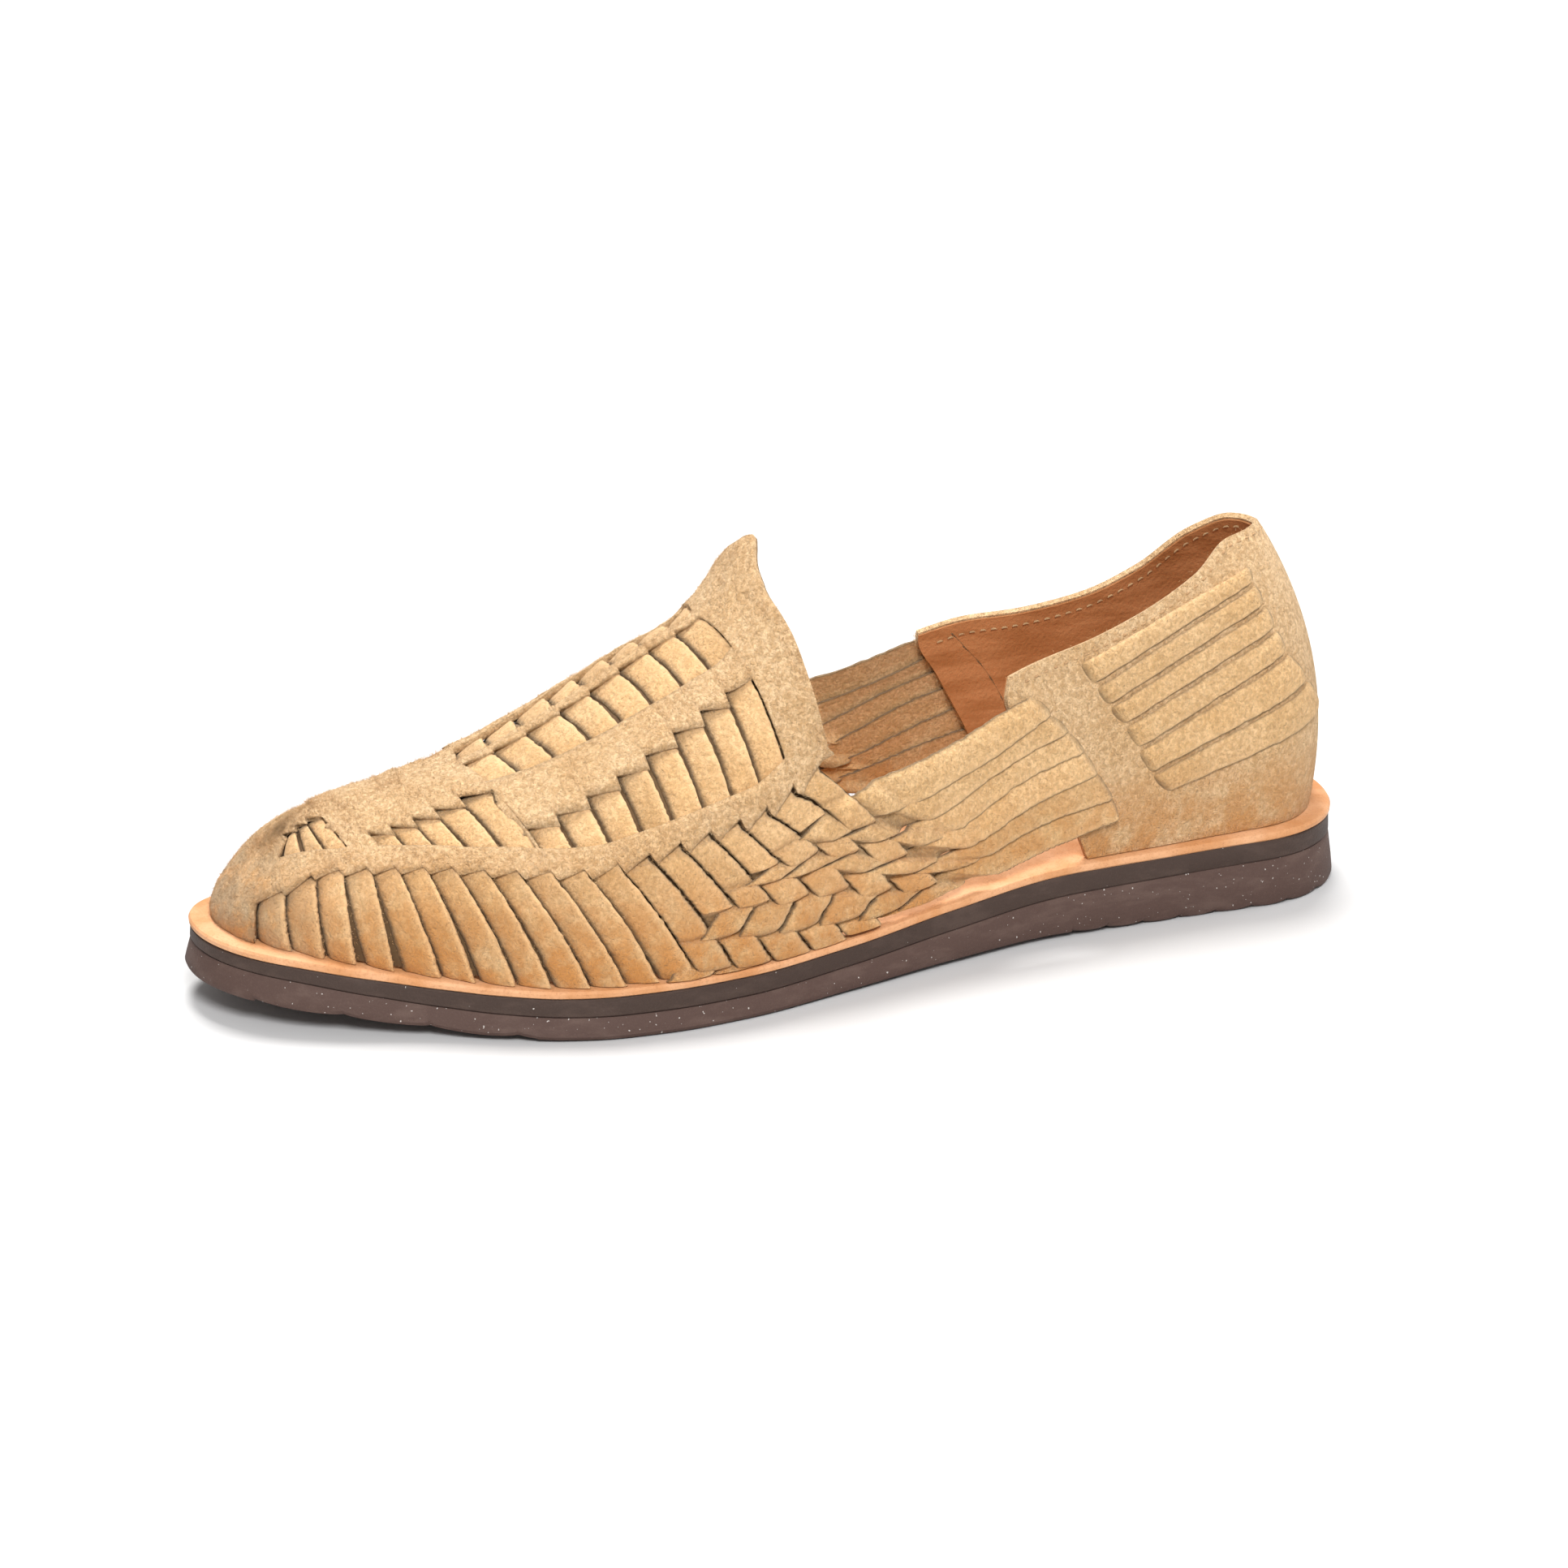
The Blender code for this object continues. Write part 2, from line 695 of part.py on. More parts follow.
def build_counter(collection):
    share = np.linspace(0, 1, COUNTER_ROWS)
    back = COUNTER_COLUMNS - 1
    outer_columns, inner_columns = [], []
    for side, line in ((1, range(COUNTER_COLUMNS)), (-1, range(back - 1, -1, -1))):
        for k in line:
            u = 1 - (1 - k / back) ** HEEL_CLOSER
            top_q = COUNTER_FROM + (1 - COUNTER_FROM) * u
            top = float(smooth(COLLAR, "outer" if side > 0 else "inner", top_q))
            w = top * share
            front = smooth(COUNTER_FRONT, "row", w)
            q = np.minimum(front + (1 - front) * u, 1.0)
            outside, inside = skin(side, q, w, COUNTER_WALL), skin(side, q, w, 0.0)
            outside[0, 2] = max(inside[0, 2], clearance_z(outside[0]))
            outer_columns.append(outside)
            inner_columns.append(inside)
    outer = np.array(outer_columns).transpose(1, 0, 2)
    inner = np.array(inner_columns).transpose(1, 0, 2)
    edges = ("bottom", "top", "front", "back")
    return as_cutter(sheet_solid("counter_wall", outer, inner, edges, collection, None))


# Straps

def spline(points, count):
    """Points along a smooth curve through a few points."""
    points = np.asarray(points, float)
    run = np.r_[0, np.cumsum(np.linalg.norm(np.diff(points * (1.0, 0.6), axis=0), axis=1))]
    at = np.linspace(0, run[-1], count)
    lines = [smooth({"station": run, "value": points[:, k]}, "value", at) for k in range(points.shape[1])]
    return np.stack(lines, 1)


def ribbon(name, side, upper_line, lower_line, low, high, collection):
    """A box-section strap between two lines on the last."""
    corners = []
    for line, lift in ((upper_line, low), (upper_line, high), (lower_line, high), (lower_line, low)):
        corners.append(skin(side, line[:, 0], line[:, 1], lift))
    points = np.stack(corners, 1).reshape(-1, 3)
    faces = [(0, 1, 2, 3)]
    stations = len(upper_line)
    for i in range(stations - 1):
        a, b = 4 * i, 4 * (i + 1)
        for k in range(4):
            faces.append((a + k, a + (k + 1) % 4, b + (k + 1) % 4, b + k))
    end = 4 * (stations - 1)
    faces.append((end + 3, end + 2, end + 1, end))
    return as_cutter(mesh_object(name, points, faces, collection))


def narrowed(upper_line, lower_line, gap):
    """Both lines moved in by half of a gap, measured on the last."""
    span = skin(1, upper_line[:, 0], upper_line[:, 1], 0.0) - skin(1, lower_line[:, 0], lower_line[:, 1], 0.0)
    width = np.linalg.norm(span, axis=1)
    share = np.clip(gap / 2 / width, 0, 0.3)[:, None]
    return upper_line + (lower_line - upper_line) * share, lower_line + (upper_line - lower_line) * share


def weave_lifts(strap, line):
    """Low and high lift along a strap: over and under the strips, free, then over the counter."""
    q, w = line[:, 0], line[:, 1]
    t = np.array([strip_station(a, b) for a, b in zip(q, w)])
    cell = (t - FIRST_STRIP) / STRIP_PITCH
    swing = np.cos(math.pi * (cell + 0.5 + strap))
    over = 1 / (1 + np.exp(-WEAVE_STEEPNESS * swing))
    loose = np.clip((q - rear_edge(w)) / LOOSENING_RUN, 0, 1)
    over = over * (1 - loose) + loose
    high = STRAP_UNDER + (STRAP_TOP - STRAP_UNDER) * over
    low = np.where(loose > 0, STRAP_SEAT + STRAP_SINK * loose, STRAP_SEAT - STRAP_SINK * (1 - over))
    tuck = np.clip((np.arange(len(q)) - (len(q) - 3)) / 2, 0, 1)
    high = high * (1 - tuck) + (COUNTER_WALL - STRAP_SINK) * tuck
    low = low * (1 - tuck) + STRAP_SEAT * tuck
    return low, high


def strip_station(q, w):
    """The band station of the strip that passes a point of the side wall."""
    t = q
    for _ in range(12):
        t = t - (float(slanted(np.array(t), np.array(w))) - q) * 0.6
    return t


def build_straps(collection):
    lines = [spline(line, STRAP_STATIONS) for line in STRAP_LINES]
    for side, label in ((1, "outer"), (-1, "inner")):
        for k in range(STRAPS):
            upper_line, lower_line = narrowed(lines[k], lines[k + 1], STRAP_GAP)
            low, high = weave_lifts(k, (upper_line + lower_line) / 2)
            ribbon(f"strap_{label}_{k}", side, upper_line, lower_line, low, high, collection)


def build_heel_straps(collection):
    stations = HEEL_STRAP_STATIONS
    lines = [spline([line["front"], line["back"]], stations) for line in HEEL_LINES]
    for side, label in ((1, "outer"), (-1, "inner")):
        for k in range(STRAPS):
            upper_line, lower_line = narrowed(lines[k], lines[k + 1], STRAP_GAP)
            if side < 0:
                upper_line, lower_line = (shifted_to_inner(l) for l in (upper_line, lower_line))
            low = np.full(stations, STRAP_SEAT)
            high = np.full(stations, HEEL_STRAP_TOP)
            ribbon(f"heel_strap_{label}_{k}", side, upper_line, lower_line, low, high, collection)


def shifted_to_inner(line):
    """A line on the counter, lowered with the inner collar."""
    drop = smooth(COLLAR, "inner", line[:, 0]) / smooth(COLLAR, "outer", line[:, 0])
    return np.stack([line[:, 0], line[:, 1] * drop], 1)


def build_upper(collection, cutters):
    suede = material("suede", (0.620, 0.410, 0.215), 0.90)
    upper = build_vamp(collection, suede)
    build_counter(cutters)
    build_straps(cutters)
    build_heel_straps(cutters)
    joined = upper.modifiers.new("woven_together", "BOOLEAN")
    joined.operation = "UNION"
    joined.operand_type = "COLLECTION"
    joined.collection = cutters
    joined.solver = "EXACT"
    return upper


def build():
    for old in list(bpy.data.objects):
        bpy.data.objects.remove(old, do_unlink=True)
    sandal = new_collection("sandal")
    cutters = new_collection("upper_pieces")
    build_outsole(sandal)
    build_midsole(sandal)
    build_insole(sandal)
    build_upper(sandal, cutters)


build()
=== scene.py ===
"""Looks of the woven suede sandal: leather, strips, straps, stitches, sole, floor, light and camera."""
import math

import bpy
import numpy as np
from mathutils import Matrix


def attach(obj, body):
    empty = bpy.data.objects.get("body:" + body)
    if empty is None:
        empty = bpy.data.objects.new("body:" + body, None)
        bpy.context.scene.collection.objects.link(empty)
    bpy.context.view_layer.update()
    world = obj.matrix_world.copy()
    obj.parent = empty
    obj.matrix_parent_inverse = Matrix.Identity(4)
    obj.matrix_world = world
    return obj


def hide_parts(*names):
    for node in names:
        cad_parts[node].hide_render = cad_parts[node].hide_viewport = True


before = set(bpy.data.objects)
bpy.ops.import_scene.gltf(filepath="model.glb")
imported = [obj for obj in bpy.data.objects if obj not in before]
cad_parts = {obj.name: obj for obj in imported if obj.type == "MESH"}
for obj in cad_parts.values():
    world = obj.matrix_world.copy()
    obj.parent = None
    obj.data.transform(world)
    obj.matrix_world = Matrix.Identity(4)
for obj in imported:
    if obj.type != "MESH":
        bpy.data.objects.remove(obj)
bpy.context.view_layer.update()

# Driving sizes, the same as the solids'
SOLE_LENGTH = 0.302
BALL_WIDTH = 0.099
INSTEP_HEIGHT = 0.100
TOE_SPRING = 0.0175
HEEL_THICKNESS = 0.0124
MIDSOLE_THICKNESS = 0.0052
INSOLE_THICKNESS = 0.0020
LAYER_GAP = 0.0003
TOE_ROUND = 0.040
HEEL_ROUND = 0.033
ROUND_POWER = 2.2
TOE_SWING = 0.0115
HEEL_SWING = 0.0028
OUTSOLE_FLARE = 0.0016

# The weave
STRIPS = 19
FIRST_STRIP = 0.040
STRIP_PITCH = 0.0235
WOVEN_FROM = 12
STRAPS = 6

# Leather heights above the last
LINING_TOP = 0.0003
STRIP_THICK = 0.0013
STRIP_LOW = 0.0011
STRIP_HIGH = 0.0028
WINDOW_LOW = 0.0010
WINDOW_HIGH = 0.0027
BAND_TOP = 0.0032
SHEET_THICK = 0.0017
STRAP_TOP = 0.0038
STRAP_UNDER = 0.0014
STRAP_THICK = 0.0013
COUNTER_TOP = 0.0021
HEEL_STRAP_TOP = 0.0034
HEEL_STRAP_THICK = 0.0016
STRAP_GAP = 0.0009
FREE_GAP = -0.0026
STITCH_RADIUS = 0.00028
STITCH_LENGTH = 0.0016
STITCH_PITCH = 0.0030

# Nap
FIBRE_LENGTH = 0.0011
FIBRE_RADIUS = 0.00005
VAMP_FIBRES = 11000
COUNTER_FIBRES = 6000

# Edges of the vamp's openings, as shares of the arch, and the rows where they end
SAW_RISE = 0.035
WINDOW_SAW = 0.036
CENTRE_TOP = 0.97
GROUP_ENDS = (7, 14, 21, 28, 36)
LAST_SHARE = 0.93
STRIP_SHARES = (0.0, 0.07, 0.3, 0.5, 0.7, LAST_SHARE)

# Gaps at the foot of the side strips, as shares of a strip's pitch
FOOT_GAPS = {1: 0.10, 2: 0.24, 3: 0.26, 5: 0.12, 7: 0.10, 10: 0.10}

# Across a ribbon: where its points lie, how round its edges are, its painted shade at the edges, and its
# paler cut edge, which is partly a painted highlight
ACROSS = np.array([0.0, 0.05, 0.14, 0.3, 0.5, 0.7, 0.86, 0.95, 1.0])
ROUNDING = np.array([0.50, 0.20, 0.06, 0.0, 0.0, 0.0, 0.05, 0.16, 0.46])
# Painted shade: darker where an edge tucks under the next piece or lies in its shadow
PAINTED_SHADE_EARLY = np.array([1.0, 0.85, 0.35, 0.05, 0.0, 0.0, 0.0, 0.0, 0.1])
PAINTED_SHADE_BOTH = np.array([0.85, 0.3, 0.0, 0.0, 0.0, 0.0, 0.0, 0.3, 0.85])
PAINTED_SHADE_HEEL = np.array([0.35, 0.1, 0.0, 0.0, 0.0, 0.0, 0.05, 0.3, 0.9])
EDGE_AND_HIGHLIGHT_SHARE = np.array([0.3, 0.2, 0.0, 0.0, 0.0, 0.0, 0.35, 1.0, 0.8])

WEAVE_STEEPNESS = 7
SEED = 7


def table(columns, rows):
    """A table of numbers by column name."""
    return dict(zip(columns.split(), np.array(rows, float).T))


OUTLINE = table("station outer inner", (
    (0.00, 0.265, 0.275),
    (0.05, 0.259, 0.313),
    (0.11, 0.281, 0.383),
    (0.16, 0.328, 0.441),
    (0.20, 0.382, 0.487),
    (0.25, 0.437, 0.513),
    (0.30, 0.470, 0.520),
    (0.35, 0.480, 0.503),
    (0.40, 0.470, 0.475),
    (0.50, 0.414, 0.414),
    (0.60, 0.350, 0.369),
    (0.70, 0.304, 0.348),
    (0.80, 0.300, 0.336),
    (0.90, 0.316, 0.322),
    (1.00, 0.332, 0.306),
))
SOLE = table("station bottom outsole midsole", (
    (0.00, 0.48, 0.57, 0.64),
    (0.05, 0.36, 0.57, 0.68),
    (0.11, 0.23, 0.50, 0.78),
    (0.16, 0.12, 0.46, 0.84),
    (0.20, 0.06, 0.45, 0.88),
    (0.25, 0.01, 0.45, 0.90),
    (0.28, 0.00, 0.45, 0.92),
    (0.40, 0.00, 0.45, 0.94),
    (0.50, 0.03, 0.50, 0.92),
    (0.60, 0.06, 0.63, 1.00),
    (0.70, 0.07, 0.79, 1.06),
    (0.76, 0.03, 0.89, 1.02),
    (0.82, 0.00, 0.95, 1.00),
    (0.90, 0.00, 1.00, 1.00),
    (1.00, 0.00, 1.00, 1.00),
))
FLANGE = table("station width", (
    (0.00, 0.086),
    (0.05, 0.066),
    (0.12, 0.045),
    (0.30, 0.032),
    (0.50, 0.036),
    (0.75, 0.042),
    (0.93, 0.059),
    (1.00, 0.076),
))
RIDGE = table("station swing height", (
    (0.055, -0.105, 0.350),
    (0.095, -0.100, 0.436),
    (0.130, -0.092, 0.460),
    (0.177, -0.085, 0.482),
    (0.247, -0.075, 0.543),
    (0.317, -0.065, 0.646),
    (0.360, -0.060, 0.722),
    (0.397, -0.055, 0.785),
    (0.423, -0.050, 0.825),
    (0.450, -0.048, 0.910),
    (0.475, -0.046, 1.015),
    (0.520, -0.042, 1.070),
    (0.600, -0.035, 1.070),
    (0.750, -0.030, 1.020),
    (0.890, -0.028, 1.020),
))
FORM = table("station fan sides crown bulge lean", (
    (0.00, 0.060, 1.55, 1.50, 0.020, 0.00),
    (0.10, 0.030, 1.85, 1.90, 0.012, 0.00),
    (0.20, 0.000, 2.00, 2.05, 0.008, 0.00),
    (0.35, 0.000, 2.00, 1.95, 0.010, 0.00),
    (0.50, 0.000, 1.90, 1.80, 0.010, 0.00),
    (0.70, 0.000, 2.00, 2.00, 0.015, 0.04),
    (0.90, -0.050, 2.00, 2.00, 0.030, 0.06),
    (1.00, -0.100, 2.00, 2.00, 0.040, 0.02),
))
SLANT = table("station run above", (
    (0.000, 0.000, 0.000),
    (0.040, 0.004, 0.030),
    (0.080, 0.011, 0.080),
    (0.130, 0.020, 0.130),
    (0.220, 0.037, 0.080),
    (0.310, 0.047, 0.040),
    (0.355, 0.060, 0.030),
    (0.400, 0.078, 0.030),
    (0.445, 0.098, 0.035),
    (0.490, 0.120, 0.040),
))
BAND = table("station low high centre", (
    (0.000, 0.34, 0.58, 0.90),
    (0.050, 0.36, 0.61, 0.90),
    (0.100, 0.48, 0.62, 0.89),
    (0.180, 0.47, 0.60, 0.88),
    (0.250, 0.41, 0.53, 0.85),
    (0.320, 0.35, 0.44, 0.79),
    (0.420, 0.34, 0.42, 0.76),
    (0.500, 0.34, 0.43, 0.76),
))
WINDOWS = (
    {"first": 1, "last": 3, "low": 0.81, "high": 0.87},
    {"first": 5, "last": 9, "low": 0.67, "high": 0.78},
    {"first": 10, "last": 17, "low": 0.56, "high": 0.655},
)
CENTRE_STRIPS = (10, 17)
# Station of the vamp's rear edge at each height
REAR_EDGE = table("station row", (
    (0.00, 0.612),
    (0.10, 0.590),
    (0.20, 0.560),
    (0.27, 0.530),
    (0.30, 0.508),
    (0.34, 0.500),
    (0.42, 0.482),
    (0.52, 0.474),
    (0.85, 0.476),
    (1.00, 0.485),
))
BOTTOM_LIFT = table("station lift", (
    (0.00, 0.000),
    (0.46, 0.000),
    (0.52, 0.018),
    (0.62, 0.045),
))
# Station and height of each strap edge at its foot, knee, rest, rise and slit
STRAP_LINES = (
    ((0.345, 0.00), (0.405, 0.200), (0.505, 0.276), (0.595, 0.292), (0.685, 0.352)),
    ((0.381, 0.00), (0.440, 0.195), (0.540, 0.218), (0.625, 0.250), (0.697, 0.315)),
    ((0.418, 0.00), (0.475, 0.170), (0.565, 0.178), (0.640, 0.225), (0.711, 0.275)),
    ((0.456, 0.00), (0.500, 0.125), (0.580, 0.136), (0.660, 0.192), (0.723, 0.232)),
    ((0.495, 0.01), (0.535, 0.082), (0.605, 0.100), (0.675, 0.145), (0.734, 0.183)),
    ((0.540, 0.02), (0.575, 0.055), (0.620, 0.070), (0.680, 0.100), (0.746, 0.128)),
    ((0.585, 0.02), (0.600, 0.026), (0.635, 0.030), (0.690, 0.050), (0.752, 0.085)),
)
# Station of the counter's front edge at each height
COUNTER_FRONT = table("station row", (
    (0.00, 0.725),
    (0.10, 0.708),
    (0.25, 0.676),
    (0.35, 0.655),
    (0.40, 0.660),
))
COLLAR = table("station outer inner", (
    (0.660, 0.400, 0.360),
    (0.700, 0.435, 0.390),
    (0.750, 0.475, 0.400),
    (0.800, 0.525, 0.425),
    (0.850, 0.595, 0.490),
    (0.900, 0.695, 0.610),
    (0.950, 0.710, 0.680),
    (1.000, 0.690, 0.690),
))
# Station and height of the heel straps' edges at their front and rear ends
HEEL_LINES = (
    ((0.720, 0.412), (0.905, 0.600)),
    ((0.731, 0.355), (0.903, 0.545)),
    ((0.743, 0.308), (0.905, 0.485)),
    ((0.755, 0.262), (0.907, 0.425)),
    ((0.766, 0.208), (0.912, 0.365)),
    ((0.777, 0.155), (0.930, 0.290)),
    ((0.792, 0.110), (0.950, 0.215)),
)


# Curves and the last, by the same rules as the solids

def smooth(values, column, at):
    """A monotone smooth curve through one column of a table."""
    x, y = values["station"], values[column]
    h, slope = np.diff(x), np.diff(y) / np.diff(x)
    tangent = np.zeros_like(y)
    tangent[0], tangent[-1] = slope[0], slope[-1]
    before, after = slope[:-1], slope[1:]
    w1, w2 = 2 * h[1:] + h[:-1], h[1:] + 2 * h[:-1]
    steady = before * after > 0
    safe = np.where(steady, before * after, 1.0)
    tangent[1:-1] = np.where(steady, (w1 + w2) * safe / (w1 * after + w2 * before + ~steady), 0.0)
    at = np.clip(np.asarray(at, float), x[0], x[-1])
    k = np.clip(np.searchsorted(x, at) - 1, 0, len(h) - 1)
    t = (at - x[k]) / h[k]
    start = (1 + 2 * t) * (1 - t) ** 2 * y[k] + t * (1 - t) ** 2 * h[k] * tangent[k]
    end = t * t * (3 - 2 * t) * y[k + 1] + t * t * (t - 1) * h[k] * tangent[k + 1]
    return start + end


def even_ends(count):
    """Stations from 0 to 1, closer together at both ends."""
    return (1 - np.cos(np.linspace(0, math.pi, count))) / 2


def round_end(gap, radius):
    share = np.clip(1 - gap / radius, 0, 1)
    return (1 - share ** ROUND_POWER) ** (1 / ROUND_POWER)


def axis_x(s):
    toe = np.clip(1 - s / 0.3, 0, 1) ** 2
    heel = np.clip((s - 0.6) / 0.4, 0, 1) ** 2
    return -TOE_SWING * toe - HEEL_SWING * heel


def sole_edge(side, s):
    y = s * SOLE_LENGTH
    reach = BALL_WIDTH * smooth(OUTLINE, "outer" if side > 0 else "inner", s)
    return axis_x(s) + side * reach * round_end(y, TOE_ROUND) * round_end(SOLE_LENGTH - y, HEEL_ROUND)


def bottom_z(s):
    return TOE_SPRING * smooth(SOLE, "bottom", s)


def outsole_z(s):
    return bottom_z(s) + HEEL_THICKNESS * smooth(SOLE, "outsole", s)


def midsole_z(s):
    return outsole_z(s) + MIDSOLE_THICKNESS * smooth(SOLE, "midsole", s)


def insole_z(s):
    return midsole_z(s) + LAYER_GAP + INSOLE_THICKNESS


def sole_point(side, s, flare):
    """x and y of the sole's edge, with the outline grown by a flare."""
    middle = SOLE_LENGTH / 2
    y = middle + (s * SOLE_LENGTH - middle) * (1 + flare / middle)
    axis = axis_x(s)
    return axis + (sole_edge(side, s) - axis) * (1 + flare / (BALL_WIDTH / 2)), y


def feather_lines(samples=481):
    """Where the upper meets the insole: the outline moved in by the flange."""
    s = even_ends(samples)
    outer = np.stack([sole_edge(1, s), s * SOLE_LENGTH], 1)
    inner = np.stack([sole_edge(-1, s), s * SOLE_LENGTH], 1)[::-1]
    loop = np.vstack([outer, inner[1:-1]])
    step = np.roll(loop, -1, 0) - np.roll(loop, 1, 0)
    inward = np.stack([-step[:, 1], step[:, 0]], 1)
    inward /= np.linalg.norm(inward, axis=1)[:, None]
    flange = BALL_WIDTH * smooth(FLANGE, "width", loop[:, 1] / SOLE_LENGTH)
    loop = loop + inward * flange[:, None]
    return {1: loop[:samples], -1: np.vstack([loop[:1], loop[samples - 1:][::-1]])}


FEATHER = feather_lines()
GIRTH_RUN = np.r_[0, np.cumsum(np.linalg.norm(np.diff(FEATHER[1], axis=0), axis=1))]
GIRTH = (GIRTH_RUN / GIRTH_RUN[-1], FEATHER[1][:, 1])


def feather(side, q):
    y = np.interp(q, *GIRTH)
    x = np.interp(y, FEATHER[side][:, 1], FEATHER[side][:, 0])
    return np.stack([x, y, insole_z(y / SOLE_LENGTH) + LAYER_GAP], -1)


def ridge(s):
    x = BALL_WIDTH * smooth(RIDGE, "swing", s)
    return np.stack([x, s * SOLE_LENGTH, INSTEP_HEIGHT * smooth(RIDGE, "height", s)], -1)


def last(side, q, w):
    """A point of the last: q from toe to heel, w up the arch from the feather to the ridge."""
    q, w = np.broadcast_arrays(np.asarray(q, float), np.asarray(w, float))
    foot = feather(side, q)
    s = foot[..., 1] / SOLE_LENGTH
    ahead = s + smooth(FORM, "fan", s)
    top = ridge(ahead)
    near = 0.002
    slope = (ridge(ahead + near) - ridge(ahead - near))[..., 2] / (2 * near * SOLE_LENGTH)
    turn = w * math.pi / 2
    across = 1 - np.maximum(np.cos(turn), 0) ** (2 / smooth(FORM, "sides", s))
    up = np.maximum(np.sin(turn), 0) ** (2 / smooth(FORM, "crown", s))
    glide = slope * (top[..., 1] - foot[..., 1])
    run = top[..., :2] - foot[..., :2]
    out = -run / (np.linalg.norm(run, axis=-1)[..., None] + 1e-9)
    push = smooth(FORM, "bulge", s) * np.sin(math.pi * up) - smooth(FORM, "lean", s) * up ** 2
    xy = foot[..., :2] + run * across[..., None] + out * (BALL_WIDTH * push * (1 - across))[..., None]
    z = foot[..., 2] + (top[..., 2] - foot[..., 2] - glide) * up + glide * across
    return np.concatenate([xy, z[..., None]], -1)


def last_normal(side, q, w):
    step = 1e-3
    along = last(side, np.clip(q + step, 0, 1), w) - last(side, np.clip(q - step, 0, 1), w)
    upward = last(side, q, np.clip(w + step, 0, 1)) - last(side, q, np.clip(w - step, 0, 1))
    normal = np.cross(along, upward) * side
    return normal / (np.linalg.norm(normal, axis=-1)[..., None] + 1e-12)


def skin(side, q, w, lift):
    """A point at a height above the last, clear of the insole; both sides agree where they meet."""
    q, w, lift = np.broadcast_arrays(np.asarray(q, float), np.asarray(w, float), np.asarray(lift, float))
    normal = last_normal(side, q, w)
    seam = (q <= 0) | (q >= 1) | (w >= 1)
    both = normal + last_normal(-side, q, w)
    both /= np.linalg.norm(both, axis=-1)[..., None] + 1e-12
    normal = np.where(seam[..., None], both, normal)
    point = last(side, q, w) + normal * lift[..., None]
    floor = insole_z(point[..., 1] / SOLE_LENGTH) + LAYER_GAP
    point[..., 2] = np.maximum(point[..., 2], floor)
    return point


def sole_centre():
    s = even_ends(400)
    edges = [sole_point(side, s, OUTSOLE_FLARE)[0] for side in (1, -1)]
    return (np.max(edges) + np.min(edges)) / 2


SOLE_CENTRE = sole_centre()


def to_world(points):
    return np.asarray(points) - (SOLE_CENTRE, SOLE_LENGTH / 2, 0.0)


# Noise for unevenness of shape

def waves(points, size, seed):
    """Smooth noise from -1 to 1 at points, from a few slanted waves of about a given length."""
    rng = np.random.default_rng(seed)
    total = np.zeros(points.shape[:-1])
    for _ in range(6):
        direction = rng.normal(size=3)
        direction /= np.linalg.norm(direction)
        length = size * rng.uniform(0.6, 1.6)
        total = total + np.sin(points @ direction * (2 * math.pi / length) + rng.uniform(0, 6.28))
    return total / 6 * 1.4


# Meshes

def link(name, verts, faces, finish, tint=None):
    mesh = bpy.data.meshes.new(name)
    mesh.from_pydata(np.asarray(verts).tolist(), [], faces)
    if tint is not None:
        layer = mesh.attributes.new("tint", "FLOAT_COLOR", "POINT")
        layer.data.foreach_set("color", np.asarray(tint, np.float32).reshape(-1))
    mesh.validate()
    mesh.update()
    made = bpy.data.objects.new(name, mesh)
    bpy.context.scene.collection.objects.link(made)
    mesh.materials.append(finish)
    mesh.shade_smooth()
    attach(made, "root")
    return made


def grid_quads(rows, columns, start=0, flip=False, keep=None):
    r, c = np.meshgrid(np.arange(rows - 1), np.arange(columns - 1), indexing="ij")
    a = start + r * columns + c
    quads = np.stack([a, a + 1, a + columns + 1, a + columns], -1)
    if flip:
        quads = quads[..., ::-1]
    quads = quads.reshape(-1, 4)
    if keep is not None:
        quads = quads[keep.reshape(-1)]
    return quads.tolist()


class Pile:
    """Collects the meshes of many like pieces into one object, each with its tone, painted shade and
    paler cut edge.
    """

    def __init__(self):
        self.verts = []
        self.faces = []
        self.tints = []
        self.count = 0

    def add(self, verts, faces, tone=0.5, painted_shade=None, edge=None):
        verts = np.asarray(verts).reshape(-1, 3)
        tint = np.zeros((len(verts), 4))
        tint[:, 0] = tone
        # Green: painted shade; blue: paler cut edge, partly a painted highlight
        tint[:, 1] = 0.0 if painted_shade is None else np.asarray(painted_shade).reshape(-1)
        tint[:, 2] = 0.0 if edge is None else np.asarray(edge).reshape(-1)
        tint[:, 3] = 1.0
        self.verts.append(verts)
        self.tints.append(tint)
        self.faces += [[i + self.count for i in face] for face in faces]
        self.count += len(verts)

    def build(self, name, finish, slot_name, angle=50):
        tint = np.vstack(self.tints)
        made = link(name, to_world(np.vstack(self.verts)), self.faces, finish, tint)
        made.data.set_sharp_from_angle(angle=math.radians(angle))
        return made


